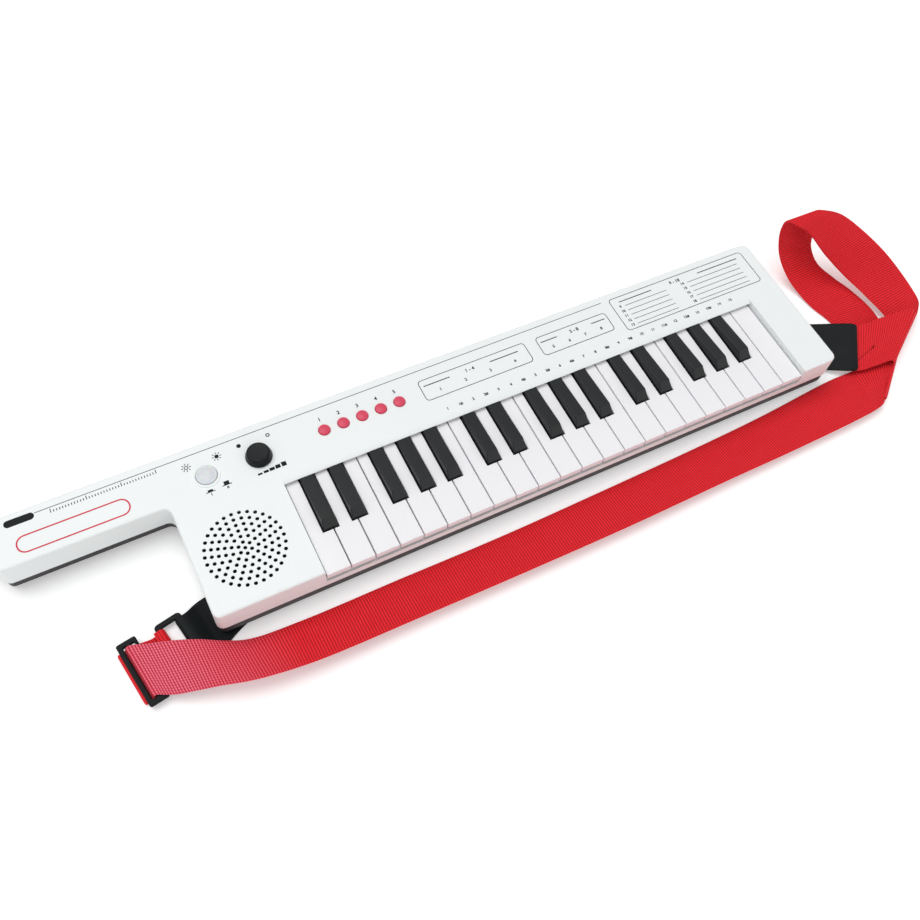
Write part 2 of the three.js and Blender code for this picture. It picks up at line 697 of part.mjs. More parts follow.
function upperShell() {
  const outside = roundedTopBody(casePlan, [seamHeight, panelTop], topEdgeRadius);
  const inside = prism(roundedPoints(insetPlan(casePlan, wall)), [seamHeight - overshoot, ceiling]);
  const bay = [-baySideGap, bayWidth + baySideGap];
  const bayOuter = [bay[0] - bayWall, bay[1] + bayWall];
  const intoPanel = ceiling + wall / 2;
  const bayBack = lipFront + lipFlangeDepth;
  const bayWallBottom = seamHeight + wall;
  const additions = [
    block([bayOuter[0], bay[0]], [wall / 2, bayBack], [bayWallBottom, intoPanel]),
    block([bay[1], bayOuter[1]], [wall / 2, bayBack], [bayWallBottom, intoPanel]),
    block(bayOuter, [wall / 2, railDepth], [seamHeight, railTop]),
    block(bayOuter, [lipFront, bayBack], [lipEdgeBottom, intoPanel]),
    turned(powerX, powerY, [
      [powerRadius, intoPanel],
      [powerRimRadius + powerHoleGap, intoPanel],
      [powerRimRadius, powerRimTop],
      [powerRadius, powerRimTop],
    ], largeSides),
    turned(grilleX, grilleY, [
      [speakerRadius + speakerSeatGap, ceiling - speakerRimHeight],
      [speakerRadius + speakerSeatGap + bayWall, ceiling - speakerRimHeight],
      [speakerRadius + speakerSeatGap + bayWall, intoPanel],
      [speakerRadius + speakerSeatGap, intoPanel],
    ], largeSides),
  ];
  const pilots = [];
  bossPlaces.forEach(([x, y], i) => {
    const bottom = (i < neckBosses ? neckBottom + wall : bossSplit) + seamGap;
    additions.push(post(x, y, [bottom, intoPanel], bossRadius, bossRadius, postSides));
    pilots.push(post(x, y, [bottom - overshoot, bottom + pilotDepth], pilotRadius, pilotRadius, boreSides));
  });
  for (const [x, y] of hangerPlaces) {
    const bottom = controlBoardBottom + boardThickness + supportGap;
    additions.push(post(x, y, [bottom, intoPanel], hangerRadius, hangerRadius, postSides));
  }
  for (const share of [1 / 3, 2 / 3]) {
    const x = -leftBlock - share * (neckTipNear - leftBlock);
    const ys = [neckFront + wall / 2, caseDepth - wall / 2];
    additions.push(block(about(x, bayWall), ys, [ceiling - neckRibDepth, intoPanel]));
  }
  const slope = [lipBack - lipFront, panelTop - lipEdgeTop];
  const bayCut = sidePrism(
    [
      [-overshoot, railTop],
      [lipFront, railTop],
      [lipFront, lipEdgeTop],
      [lipBack + slope[0], panelTop + slope[1]],
      [-overshoot, panelTop + slope[1]],
    ],
    bay,
  );
  const through = [lipEdgeBottom, panelTop + 2 * overshoot];
  const holes = [
    bayCut,
    grilleHoles(),
    post(knobX, knobY, through, knobShaftRadius + knobHoleGap),
    post(powerX, powerY, through, powerRadius + powerHoleGap, powerRadius + powerHoleGap, largeSides),
    ...buttonPlaces.map((x) => post(x, buttonRow, through, buttonRadius + buttonHoleGap)),
    ...pilots,
  ];
  return toMesh("upper_shell", outside.subtract(inside).add(join(additions)).subtract(join(holes)), white);
}

// Lower case

const batteryInnerX = [batteryLeft, batteryLeft + cellLength + cellEndRoom];
const batteryRear = caseDepth - lowerInset - wall - batteryWall;
const batteryInnerY = [batteryRear - cellRow * cellDiameter - cellPlay, batteryRear];
const grow = ([from, to], by) => [from - by, to + by];
const boardTop = mainBoardBottom + boardThickness;
const socketRear = caseDepth - lowerInset - supportGap;
const usbZ = boardTop + supportGap + usbHeight / 2;
const audioZ = boardTop + supportGap + audioHeight / 2;
const inPitches = ([x, y]) => [x * keyPitch, y * keyPitch];

function lowerShell() {
  const plan = insetPlan(casePlan, lowerInset);
  const deepPlan = insetPlan(bodyPlan, lowerInset);
  const rim = seamHeight - seamGap;
  const outside = join([
    roundedBottomBody(plan, [neckBottom, rim], bottomEdgeRadius / 2),
    roundedBottomBody(deepPlan, [bodyBottom, rim], bottomEdgeRadius),
  ]);
  const inside = join([
    prism(roundedPoints(insetPlan(plan, wall)), [neckBottom + wall, rim + overshoot]),
    prism(roundedPoints(insetPlan(deepPlan, wall)), [bodyFloor, rim + overshoot]),
  ]);
  const additions = [];
  const holes = [];
  const screwHole = pilotRadius + screwClearance;
  const fromFloor = bodyBottom + wall / 2;
  bossPlaces.forEach(([x, y], i) => {
    if (i < neckBosses) {
      holes.push(post(x, y, [bodyBottom, rim], screwHole, screwHole, boreSides));
      return;
    }
    additions.push(post(x, y, [fromFloor, bossSplit], lowerBossRadius, lowerBossRadius, postSides));
    holes.push(post(x, y, [0, bossSplit + overshoot], screwHole, screwHole, boreSides));
    holes.push(post(x, y, [0, bodyBottom + screwHeadDepth], screwHeadRadius, screwHeadRadius, postSides));
  });
  for (const [x, y] of footPlaces) {
    additions.push(post(x, y, [0, fromFloor], footRadius, footRadius, roundSides));
  }
  for (const share of railPostShares) {
    const zs = [fromFloor, railBaseBottom - supportGap];
    additions.push(post(share * bayWidth, middle(railBase), zs, lowerBossRadius, lowerBossRadius, postSides));
  }
  for (const share of boardRibShares) {
    const zs = [fromFloor, contactBoardBottom - supportGap];
    additions.push(block(about(share * bayWidth, ribThickness), contactBoard, zs));
  }
  const mainBoardPost = [fromFloor, mainBoardBottom - supportGap];
  for (const x of grow(mainBoardX, -hangerInset)) {
    for (const y of grow(mainBoardY, -hangerInset)) {
      additions.push(post(x, y, mainBoardPost, hangerRadius, hangerRadius, postSides));
    }
  }
  for (const [x, y] of Object.values(tabScrewShares).map(inPitches)) {
    const hole = tabPinRadius + tabPinGap;
    additions.push(post(x, y, [fromFloor, tabPinTop + wall], lowerBossRadius + tabPinGap));
    holes.push(post(x, y, [0, tabPinTop + tabPinGap], hole, hole, postSides));
  }
  const boxX = grow(batteryInnerX, batteryWall);
  const boxY = [batteryInnerY[0] - batteryWall, batteryRear + batteryWall + supportGap];
  additions.push(block(boxX, boxY, [fromFloor, batteryRoofTop]));
  holes.push(block(batteryInnerX, batteryInnerY, [0, batteryRoofTop - batteryWall]));
  const seat = doorSeat - overshoot;
  const seatTop = bodyBottom + doorThickness + doorGap;
  holes.push(block(grow(batteryInnerX, seat), grow(batteryInnerY, seat), [0, seatTop]));
  const rearWall = [caseDepth - 2 * wall, caseDepth + overshoot];
  const usbSlot = about(usbX, usbWidth + 2 * socketHoleGap);
  holes.push(block(usbSlot, rearWall, about(usbZ, usbHeight + 2 * socketHoleGap)));
  holes.push(rearPost(audioX, rearWall, audioZ, audioNoseRadius + socketHoleGap));
  const solid = outside.subtract(inside).add(join(additions)).subtract(join(holes));
  return toMesh("lower_shell", solid, caseBlack);
}

// A round post along y.
function rearPost(x, ys, z, radius) {
  const geometry = new THREE.CylinderGeometry(radius, radius, span(ys), roundSides);
  return toSolid(geometry.translate(x, middle(ys), z));
}

function batteryDoor() {
  const seat = doorSeat - overshoot - doorGap;
  const zs = [bodyBottom, bodyBottom + doorThickness];
  const plate = block(grow(batteryInnerX, seat), grow(batteryInnerY, seat), zs);
  const x = batteryInnerX[1] - gripInset;
  const grooves = Array.from({ length: gripGrooves }, (_, i) =>
    block(
      about(x + (i - (gripGrooves - 1) / 2) * gripPitch, gripWidth),
      about(middle(batteryInnerY), gripLength),
      [bodyBottom - overshoot, bodyBottom + gripDepth],
    ),
  );
  return toMesh("battery_door", plate.subtract(join(grooves)), caseBlack);
}

// Keyboard

const blackKeys = [];
for (let octave = 0; octave * octaveWhites < whiteCount; octave++) {
  for (const [boundary, offset] of blackOctaveShares) {
    const at = octave * octaveWhites + boundary;
    if (at < whiteCount) blackKeys.push({ at, centre: (at + offset) * keyPitch });
  }
}

// The narrow rear part of a white key, between the black keys on its two sides.
function whiteTail(index) {
  const halfSlot = blackWidth / 2 + notchClearance;
  const before = blackKeys.find((key) => key.at === index);
  const after = blackKeys.find((key) => key.at === index + 1);
  const left = before ? before.centre + halfSlot : index * keyPitch + keyGap / 2;
  const right = after ? after.centre - halfSlot : (index + 1) * keyPitch - keyGap / 2;
  return [left, right];
}

const clipBore = (xs) => bar(grow(xs, overshoot), pivotY, pivotZ, pivotBore, boreSides);

function whiteKey(index) {
  const [left, right] = [index * keyPitch + keyGap / 2, (index + 1) * keyPitch - keyGap / 2];
  const tail = whiteTail(index);
  const notch = blackFront - notchClearance;
  const plan = (rear) => {
    const points = [[left, 0, 0], [right, 0, 0]];
    if (tail[1] < right) points.push([right, notch, 0], [tail[1], notch, 0]);
    points.push([tail[1], rear, 0], [tail[0], rear, 0]);
    if (tail[0] > left) points.push([tail[0], notch, 0], [left, notch, 0]);
    return points;
  };
  const roof = keyTop - keyRoof;
  const hollow = prism(insetPlan(plan(clipFront), keyWall), [keySkirtBottom - overshoot, roof]);
  const plunger = block(about(middle(tail), plungerSize), about(whitePlungerY, plungerSize), [
    whitePlungerBottom,
    roof + keyRoof / 2,
  ]);
  const solid = prism(plan(keyRear), [keySkirtBottom, keyTop])
    .subtract(hollow)
    .add(plunger)
    .add(block(tail, [clipFront, keyRear], [clipBottom, roof]))
    .subtract(clipBore(tail));
  return toMesh(`white_key_${String(index + 1).padStart(2, "0")}`, solid, keyWhite);
}

function blackKey({ centre }, index) {
  const xs = about(centre, blackWidth);
  const side = roundedPoints([
    [blackFront, keySkirtBottom, 0],
    [clipFront, keySkirtBottom, 0],
    [clipFront, clipBottom, 0],
    [keyRear, clipBottom, 0],
    [keyRear, blackTailTop, 0],
    [blackStep, blackTailTop, 0],
    [blackStep, blackRearZ, 0],
    [blackRidgeY, blackRidgeZ, blackRidgeRound],
    [blackFront, blackShoulder, 0],
  ]);
  const low = blackShoulder - 2 * blackWall;
  const hollow = sidePrism(
    [
      [blackFront + blackWall, keySkirtBottom - overshoot],
      [clipFront - blackWall, keySkirtBottom - overshoot],
      [clipFront - blackWall, low],
      [blackRidgeY + blackWall, blackRidgeZ - 2 * blackWall],
      [blackRidgeY, blackRidgeZ - 2 * blackWall],
      [blackFront + blackWall, low],
    ],
    about(centre, blackTopWidth - blackWall),
  );
  const half = blackWidth / 2;
  const halfTop = blackTopWidth / 2;
  const taper = frontPrism(
    [
      [centre - half, clipBottom - overshoot],
      [centre + half, clipBottom - overshoot],
      [centre + half, keyTop],
      [centre + halfTop, blackRidgeZ + overshoot],
      [centre - halfTop, blackRidgeZ + overshoot],
      [centre - half, keyTop],
    ],
    [0, keyRear + overshoot],
  );
  const plungerX = about(centre, plungerSize);
  const plunger = block(plungerX, about(blackPlungerY, plungerSize), [blackPlungerBottom, keyTop]);
  const solid = sidePrism(side, xs)
    .intersect(taper)
    .subtract(hollow)
    .add(plunger.add(plungerStem(centre)))
    .subtract(clipBore(xs));
  return toMesh(`black_key_${String(index + 1).padStart(2, "0")}`, solid, blackPlastic);
}

// Carries the plunger of a black key up into its roof.
function plungerStem(centre) {
  const zs = [keyTop - keyRoof, blackRearZ];
  return block(about(centre, plungerSize), about(blackPlungerY, plungerSize / 2), zs);
}

function keyHingeRail() {
  const xs = [railEndGap, bayWidth - railEndGap];
  const base = block(xs, railBase, [railBaseBottom, railBaseTop]);
  const web = block(xs, about(pivotY, 2 * railWebHalf), [railBaseTop - railWebHalf, pivotZ]);
  const bead = bar(xs, pivotY, pivotZ, beadRadius, boreSides);
  return toMesh("key_hinge_rail", base.add(web).add(bead), blackPlastic);
}

const contactBoardX = [contactBoardEnd, bayWidth - contactBoardEnd];

function contactBoardPlate() {
  const zs = [contactBoardBottom, contactBoardBottom + boardThickness];
  return toMesh("contact_board", block(contactBoardX, contactBoard, zs), boardGreen);
}

function rubberContactStrip() {
  const base = block(grow(contactBoardX, -overshoot), stripWidth, [stripBottom, stripTop]);
  const pad = (x, y) => post(x, y, [middle([stripBottom, stripTop]), padTop], padRadius, padRadius, padSides);
  const pads = [
    ...Array.from({ length: whiteCount }, (_, i) => pad(middle(whiteTail(i)), whitePlungerY)),
    ...blackKeys.map(({ centre }) => pad(centre, blackPlungerY)),
  ];
  return toMesh("rubber_contact_strip", base.add(join(pads)), rubberGrey);
}

// Sound and controls

function speaker() {
  const top = ceiling - speakerSeatGap;
  const rim = speakerRadius - flangeWidth;
  const profile = [
    [0, speakerBottom],
    [magnetRadius, speakerBottom],
    [magnetRadius, magnetTop],
    [basketRadius, magnetTop],
    [rim, top - flangeThickness],
    [speakerRadius, top - flangeThickness],
    [speakerRadius, top],
    [rim, top],
    [coneThroat, magnetTop + flangeWidth],
    [coneThroat - coneThickness, magnetTop + flangeWidth + coneThickness],
    [0, magnetTop + flangeWidth + 3 * coneThickness],
  ];
  return toMesh("speaker", turned(grilleX, grilleY, profile, largeSides), paperGrey);
}

// A push cap: a stem, a flange that stops under the panel, and a slightly domed top.
const domeShares = [[1, 0], [0.93, 0.41], [0.75, 0.73], [0.45, 0.93], [0, 1]];
function pushCap(x, y, { stem, stemBottom, flange, flangeZ, radius, top, dome }) {
  return turned(x, y, [
    [0, stemBottom],
    [stem, stemBottom],
    [stem, flangeZ[0]],
    [flange, flangeZ[0]],
    [flange, flangeZ[1]],
    [radius, flangeZ[1]],
    ...domeShares.map(([r, h]) => [radius * r, top - dome + dome * h]),
  ]);
}

function redButton(name, x) {
  const cap = pushCap(x, buttonRow, {
    stem: buttonStemRadius,
    stemBottom: buttonStemBottom,
    flange: buttonFlangeRadius,
    flangeZ: buttonFlange,
    radius: buttonRadius,
    top: buttonTop,
    dome: buttonDome,
  });
  return toMesh(name, cap, red);
}

function powerButton() {
  const cap = pushCap(powerX, powerY, {
    stem: powerStemRadius,
    stemBottom: powerStemBottom,
    flange: powerFlangeRadius,
    flangeZ: powerFlange,
    radius: powerRadius,
    top: powerTop,
    dome: powerDome,
  });
  return toMesh("power_button", cap, milky);
}

function volumeKnob() {
  const edge = knobTop - knobEdge;
  const knob = turned(knobX, knobY, [
    [0, knobShaftBottom],
    [knobShaftRadius, knobShaftBottom],
    [knobShaftRadius, knobBottom],
    [knobRadius, knobBottom],
    [knobRadius, knobBottom + knobEdge],
    [knobTopRadius, edge],
    [knobTopRadius - knobEdge, knobTop],
    [0, knobTop],
  ], knobSides);
  const markY = [knobY + knobTopRadius - knobEdge - knobMark[1], knobY + knobTopRadius - knobEdge];
  const mark = block(about(knobX, knobMark[0]), markY, [knobTop - knobMarkDepth, knobTop + overshoot]);
  return toMesh("volume_knob", knob.subtract(mark), blackPlastic);
}

function controlBoard() {
  const top = controlBoardBottom + boardThickness;
  const parts = [
    block(controlBoardX, controlBoardY, [controlBoardBottom, top]),
    ...buttonPlaces.map((x) =>
      block(about(x, tactSize), about(buttonRow, tactSize), [top - boardThickness / 2, top + tactHeight]),
    ),
    post(knobX, knobY, [top - boardThickness / 2, top + potHeight], potRadius),
    block(about(powerX, latchSize), about(powerY, latchSize), [top - boardThickness / 2, top + latchHeight]),
  ];
  const potFloor = knobShaftBottom - potBoreGap;
  const potTop = top + potHeight + overshoot;
  const bores = [
    post(knobX, knobY, [potFloor, potTop], knobShaftRadius + potBoreGap),
    post(powerX, powerY, [controlBoardBottom - overshoot, potTop], powerStemRadius + latchBoreGap),
  ];
  return toMesh("control_board", join(parts).subtract(join(bores)), boardGreen);
}

function mainBoard() {
  const plate = block(mainBoardX, mainBoardY, [mainBoardBottom, boardTop]);
  const chips = chipShares.map((share) =>
    block(
      about(mainBoardX[0] + share * span(mainBoardX), chipSize),
      about(middle(mainBoardY) - chipInset, chipSize),
      [boardTop - boardThickness / 2, boardTop + chipHeight],
    ),
  );
  return toMesh("main_board", plate.add(join(chips)), boardGreen);
}

function usbSocket() {
  const rear = socketRear - socketHoleGap / 2;
  const shell = block(about(usbX, usbWidth), [rear - usbDepth, rear], about(usbZ, usbHeight));
  const mouth = block(
    about(usbX, usbWidth - 2 * usbWall),
    [rear - usbMouthDepth, rear + overshoot],
    about(usbZ, usbHeight - 2 * usbWall),
  );
  const tongueY = [rear - usbDepth + usbWall, rear - usbWall];
  const tongue = block(about(usbX, usbTongueWidth), tongueY, about(usbZ, usbTongueHeight));
  return toMesh("usb_socket", shell.subtract(mouth).add(tongue), metal);
}

function audioSocket() {
  const rear = socketRear - socketHoleGap / 2;
  const bodyRear = caseDepth - lowerInset - wall - supportGap;
  const bodyY = [bodyRear - audioDepth, bodyRear];
  const body = block(about(audioX, audioWidth), bodyY, about(audioZ, audioHeight));
  const nose = rearPost(audioX, [bodyRear - usbWall, rear], audioZ, audioNoseRadius);
  const boreY = [bodyY[0] + 2 * usbWall, rear + overshoot];
  const bore = rearPost(audioX, boreY, audioZ, audioBoreRadius);
  return toMesh("audio_socket", body.add(nose).subtract(bore), blackPlastic);
}

// Strap

// The two edges of each station of a route.
function routed(shares) {
  return shares.map((station) => {
    const middles = station.slice(0, 3).map((share) => share * keyPitch);
    const halves = station.slice(3).map((share) => (share * webbingWidth) / 2);
    return [...middles.map((at, i) => at - halves[i]), ...middles.map((at, i) => at + halves[i])];
  });
}

function strapWebbing() {
  return toMesh("strap_webbing", band(routed(webbingRouteShares), webbingThickness, 2), webbingRed);
}

function strapTab(name, shares, [x, y]) {
  const pin = post(x, y, [tabPinBottom, tabPinTop], tabPinRadius, tabPinRadius, postSides);
  return toMesh(name, band(routed(shares), tabThickness, 2).add(pin), tabBlack);
}

// A flat moulded frame with eased edges: a plan with windows in it, both as corner lists.
function mouldedFrame(plan, windows, bottom, thickness) {
  const eased = (outline, reach, sign) => {
    const ring = (inset) => roundedPoints(insetPlan(outline, inset));
    return stacked([
      [ring(sign * (hardwareEdge + reach)), bottom - reach],
      [ring(0), bottom + hardwareEdge],
      [ring(0), bottom + thickness - hardwareEdge],
      [ring(sign * (hardwareEdge + reach)), bottom + thickness + reach],
    ]);
  };
  return eased(plan, 0, 1).subtract(join(windows.map((outline) => eased(outline, hardwareReach, -1))));
}

// A rectangle in x and y, turned by an angle and moved to a place.
function turnedRectangle(xs, ys, radius, [x, y], angle) {
  const corners = [[xs[0], ys[0]], [xs[1], ys[0]], [xs[1], ys[1]], [xs[0], ys[1]]];
  const [c, s] = [Math.cos(angle), Math.sin(angle)];
  return corners.map(([u, v]) => [x + u * c - v * s, y + u * s + v * c, radius]);
}

function strapRing() {
  const place = [ringX, ringY];
  const [xs, ys] = [about(0, ringWidth), about(0, hardwareLength)];
  const plan = turnedRectangle(xs, ys, hardwareCorner, place, ringTurn);
  const window = turnedRectangle(
    about(0, ringWidth - 2 * ringBar),
    about(0, hardwareLength - 2 * ringBar),
    hardwareCorner / 2,
    place,
    ringTurn,
  );
  return toMesh("strap_ring", mouldedFrame(plan, [window], ringBottom, ringThickness), tabBlack);
}

function strapSlider() {
  const place = [sliderX, sliderY];
  const [xs, ends] = [about(0, sliderWidth), about(0, hardwareLength)];
  const plan = turnedRectangle(xs, ends, hardwareCorner / 2, place, sliderTurn);
  const windows = sliderSlots.map((width, i) => {
    const before = sliderBars.slice(0, i + 1).concat(sliderSlots.slice(0, i));
    const from = before.reduce((sum, size) => sum + size, -sliderWidth / 2);
    const ys = about(0, hardwareLength - 2 * ringBar);
    return turnedRectangle([from, from + width], ys, hardwareCorner / 4, place, sliderTurn);
  });
  return toMesh("strap_slider", mouldedFrame(plan, windows, sliderBottom, sliderThickness), tabBlack);
}

// Assembly

const buttonNames = ["button_one_key", "button_sounds", "button_rhythms", "button_demo", "button_stop"];

const keytar = new THREE.Group();
keytar.name = "keytar";
keytar.add(
  upperShell(),
  lowerShell(),
  batteryDoor(),
  speaker(),
  controlBoard(),
  mainBoard(),
  contactBoardPlate(),
  rubberContactStrip(),
  keyHingeRail(),
  usbSocket(),
  audioSocket(),
  strapWebbing(),
  strapTab("strap_tab_left", leftTabShares, inPitches(tabScrewShares.left)),
  strapTab("strap_tab_right", rightTabShares, inPitches(tabScrewShares.right)),
  strapRing(),
  strapSlider(),
  ...Array.from({ length: whiteCount }, (_, i) => whiteKey(i)),
  ...blackKeys.map(blackKey),
  ...buttonNames.map((name, i) => redButton(name, buttonPlaces[i])),
  powerButton(),
  volumeKnob(),
);

const box = new THREE.Box3().setFromObject(keytar);
const centre = box.getCenter(new THREE.Vector3());
keytar.children.forEach((mesh) => mesh.position.set(-centre.x, -centre.y, -box.min.z));

export default keytar;
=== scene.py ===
# %% [markdown]
# # A toy keytar, dressed over its solids
# The instrument is a shallow white plastic box in the shape of an L, with thirty-seven keys, five red push
# buttons, a knob, a power button, a drilled speaker grille, and a red webbing strap on black tabs.
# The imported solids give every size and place. They could be shown as they are, but real mouldings have softened
# edges, a fine grain and printing, and webbing is woven, so this lesson gives each visible piece that finish.

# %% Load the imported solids
import math

import bmesh
import bpy
from mathutils import Matrix, Vector


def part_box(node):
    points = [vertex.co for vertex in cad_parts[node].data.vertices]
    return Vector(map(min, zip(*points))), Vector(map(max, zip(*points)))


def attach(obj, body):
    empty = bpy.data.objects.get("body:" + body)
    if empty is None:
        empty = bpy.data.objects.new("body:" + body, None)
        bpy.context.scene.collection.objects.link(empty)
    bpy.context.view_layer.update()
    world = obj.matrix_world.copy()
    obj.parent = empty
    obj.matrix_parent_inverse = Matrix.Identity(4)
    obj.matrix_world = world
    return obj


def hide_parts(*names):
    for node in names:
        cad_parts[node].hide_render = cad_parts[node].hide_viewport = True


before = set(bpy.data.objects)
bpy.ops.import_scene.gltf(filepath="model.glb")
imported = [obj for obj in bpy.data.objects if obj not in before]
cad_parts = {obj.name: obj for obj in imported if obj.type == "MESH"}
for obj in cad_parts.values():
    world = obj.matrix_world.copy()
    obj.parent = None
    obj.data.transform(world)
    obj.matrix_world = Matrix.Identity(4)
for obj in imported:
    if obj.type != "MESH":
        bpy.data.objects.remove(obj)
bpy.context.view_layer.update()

# %% [markdown]
# ## Measuring from the keys
# A keyboard maker measures from the left front corner of the first key, and up from the table. The same corner is
# used here, in millimetres, so every place below can be checked with a ruler. The first key's own box tells where
# that corner is in the model, half a gap to the left of the key's side.

# %% Places in millimetres
MM = 0.001
KEY_GAP = 1.0
first_key_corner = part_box("white_key_01")[0]
keyboard_corner = Vector((first_key_corner[0] - KEY_GAP / 2 * MM, first_key_corner[1], 0.0))


def at(x, y, z):
    """A point in millimetres from the corner of the keyboard, as a point of the model in metres."""
    return Vector((x, y, z)) * MM + keyboard_corner


print("keyboard corner", [round(value, 5) for value in keyboard_corner])

# %% [markdown]
# ## Camera
# The picture looks down on the instrument from the front left, so that the neck points to the left and the keys
# rise to the right. A camera could be aimed by a constraint, but three plain directions are exact and stay put:
# right across the picture, down the picture, and into it.

# %% Camera at the picture's viewpoint
picture_right = Vector((0.8907895, -0.4484400, 0.0734543))
picture_down = Vector((-0.3590457, -0.7936591, -0.4911124))
picture_into = Vector((0.2785321, 0.4111043, -0.8679937))
SENSOR_MM = 36.0
FOCAL_PIXELS = 992.6
PICTURE_PIXELS = 920
CAMERA_PLACE = (-81.17, -262.67, 679.03)

lens = bpy.data.cameras.new("picture_camera")
lens.sensor_width = SENSOR_MM
lens.lens = FOCAL_PIXELS / PICTURE_PIXELS * SENSOR_MM
lens.clip_start = 0.01
camera = bpy.data.objects.new("picture_camera", lens)
bpy.context.scene.collection.objects.link(camera)
turn = Matrix((picture_right, -picture_down, -picture_into)).transposed()
camera.matrix_world = Matrix.Translation(at(*CAMERA_PLACE)) @ turn.to_4x4()
bpy.context.scene.camera = camera
bpy.context.scene.view_settings.view_transform = "Standard"
print("lens", round(lens.lens, 2), "mm, camera at", [round(value, 3) for value in camera.location])

# %% [markdown]
# ## Nodes and colours
# Paint and plastic colours are written down as hex values of the screen. Shaders work with linear light, so one
# function turns them over. A second one adds a node, sets its values and joins its wires in one line. The few
# kinds of node that nearly every finish needs have their own short functions, so a finish can be read at a glance.


# %% Colour and node helpers
def linear(hex_colour):
    """A hex colour of the screen as linear red, green, blue and alpha."""
    parts = [int(hex_colour[i:i + 2], 16) / 255 for i in (1, 3, 5)]
    return [p / 12.92 if p <= 0.04045 else ((p + 0.055) / 1.055) ** 2.4 for p in parts] + [1.0]


def add(tree, kind, inputs=None, **settings):
    """Adds one node to a tree, with its settings, and its inputs as plain values or as wires."""
    node = tree.nodes.new(kind)
    for setting, value in settings.items():
        setattr(node, setting, value)
    for place, value in (inputs or {}).items():
        if isinstance(value, bpy.types.NodeSocket):
            tree.links.new(value, node.inputs[place])
        else:
            node.inputs[place].default_value = value
    return node


def new_finish(name):
    """A material with an empty node tree."""
    material = bpy.data.materials.new(name)
    material.use_nodes = True
    material.node_tree.nodes.clear()
    return material, material.node_tree


def noise(tree, place, scale, detail, **more):
    """A cloudy pattern from 0 to 1 with a given number of cells in a metre, or in a width of the strap."""
    inputs = {"Vector": place, "Scale": scale, "Detail": detail, **more}
    return add(tree, "ShaderNodeTexNoise", inputs).outputs["Fac"]


def bands(tree, place, per_unit, direction, **more):
    """Even ribs along X or Y, so many in a metre or in a width of the strap."""
    inputs = {"Vector": place, "Scale": math.pi / 10 * per_unit, **more}
    return add(tree, "ShaderNodeTexWave", inputs, wave_type="BANDS", bands_direction=direction).outputs["Fac"]


def times(tree, first, second):
    """The product of two values."""
    return add(tree, "ShaderNodeMath", {0: first, 1: second}, operation="MULTIPLY").outputs[0]


def spread(tree, value, from_low, from_high, to_low, to_high):
    """A value spread from one range over another, and held at its ends."""
    return add(tree, "ShaderNodeMapRange", {"Value": value, "From Min": from_low, "From Max": from_high,
                                            "To Min": to_low, "To Max": to_high}).outputs["Result"]


def blend(tree, share, first, second):
    """A colour that goes from the first to the second as the share rises. Each is a hex colour or a wire."""
    ends = [linear(end) if isinstance(end, str) else end for end in (first, second)]
    return add(tree, "ShaderNodeMix", {0: share, 6: ends[0], 7: ends[1]}, data_type="RGBA").outputs[2]


def relief(tree, height, strength, depth_mm):
    """The normals of a bump with a depth in millimetres."""
    inputs = {"Height": height, "Strength": strength, "Distance": depth_mm * MM}
    return add(tree, "ShaderNodeBump", inputs).outputs["Normal"]


def finish_with(tree, inputs):
    """Ends a finish with its one shader."""
    shader = add(tree, "ShaderNodeBsdfPrincipled", inputs)
    add(tree, "ShaderNodeOutputMaterial", {"Surface": shader.outputs["BSDF"]})


print("black as linear light:", [round(value, 4) for value in linear("#202627")])

# %% [markdown]
# ## Floor and light
# The instrument lies on a plain pale floor under soft studio light. One broad lamp, high up and a little behind,
# draws the soft shadow in front of the case, a broader one from the front lifts the upright faces, and an even sky
# fills the rest. The lamps stay at a level where a colour shows about as it is written. For the camera alone the
# floor and the sky are brighter, so that both read as white.

# %% Floor, sky and lamps
FLOOR_LIFT = 0.28
SKY_LEVEL = 0.42
LAMPS = {"broad_lamp": (1.37, 45, (0.2, -0.3, -1.0)), "front_lamp": (0.7, 75, (-0.15, 0.95, -0.3))}


def seen_directly(tree):
    """1 where the camera looks, also by a reflection or through a clear piece, and 0 for all other light."""
    ray = add(tree, "ShaderNodeLightPath")
    seen = ray.outputs["Is Camera Ray"]
    for other in ("Is Glossy Ray", "Is Transmission Ray"):
        seen = add(tree, "ShaderNodeMath", {0: seen, 1: ray.outputs[other]}, operation="MAXIMUM").outputs[0]
    return seen


# Matt white paper of the floor: even, with a trace of cloudiness.
floor_finish, tree = new_finish("matt_white_paper_sweep")
where = add(tree, "ShaderNodeTexCoord").outputs["Object"]
tone = blend(tree, noise(tree, where, 6.0, 3.0), "#fafbfb", "#fdfdfd")
paper = add(tree, "ShaderNodeBsdfDiffuse", {"Color": tone, "Roughness": 0.0})
lift = times(tree, seen_directly(tree), FLOOR_LIFT)
glow = add(tree, "ShaderNodeEmission", {"Color": linear("#ffffff"), "Strength": lift})
both = add(tree, "ShaderNodeAddShader", {0: paper.outputs[0], 1: glow.outputs[0]})
add(tree, "ShaderNodeOutputMaterial", {"Surface": both.outputs[0]})

bpy.ops.object.select_all(action="DESELECT")
bpy.ops.mesh.primitive_circle_add(vertices=96, radius=6.0, fill_type="NGON", location=(0, 0, -0.0001))
floor = bpy.context.object
floor.name = "paper_floor"
floor.data.materials.append(floor_finish)

world = bpy.data.worlds.new("studio_sky")
bpy.context.scene.world = world
world.use_nodes = True
sky = world.node_tree
sky.nodes.clear()
level = spread(sky, seen_directly(sky), 0.0, 1.0, SKY_LEVEL, 1.0)
fill = add(sky, "ShaderNodeBackground", {"Color": linear("#fefeff"), "Strength": level})
add(sky, "ShaderNodeOutputWorld", {"Surface": fill.outputs[0]})

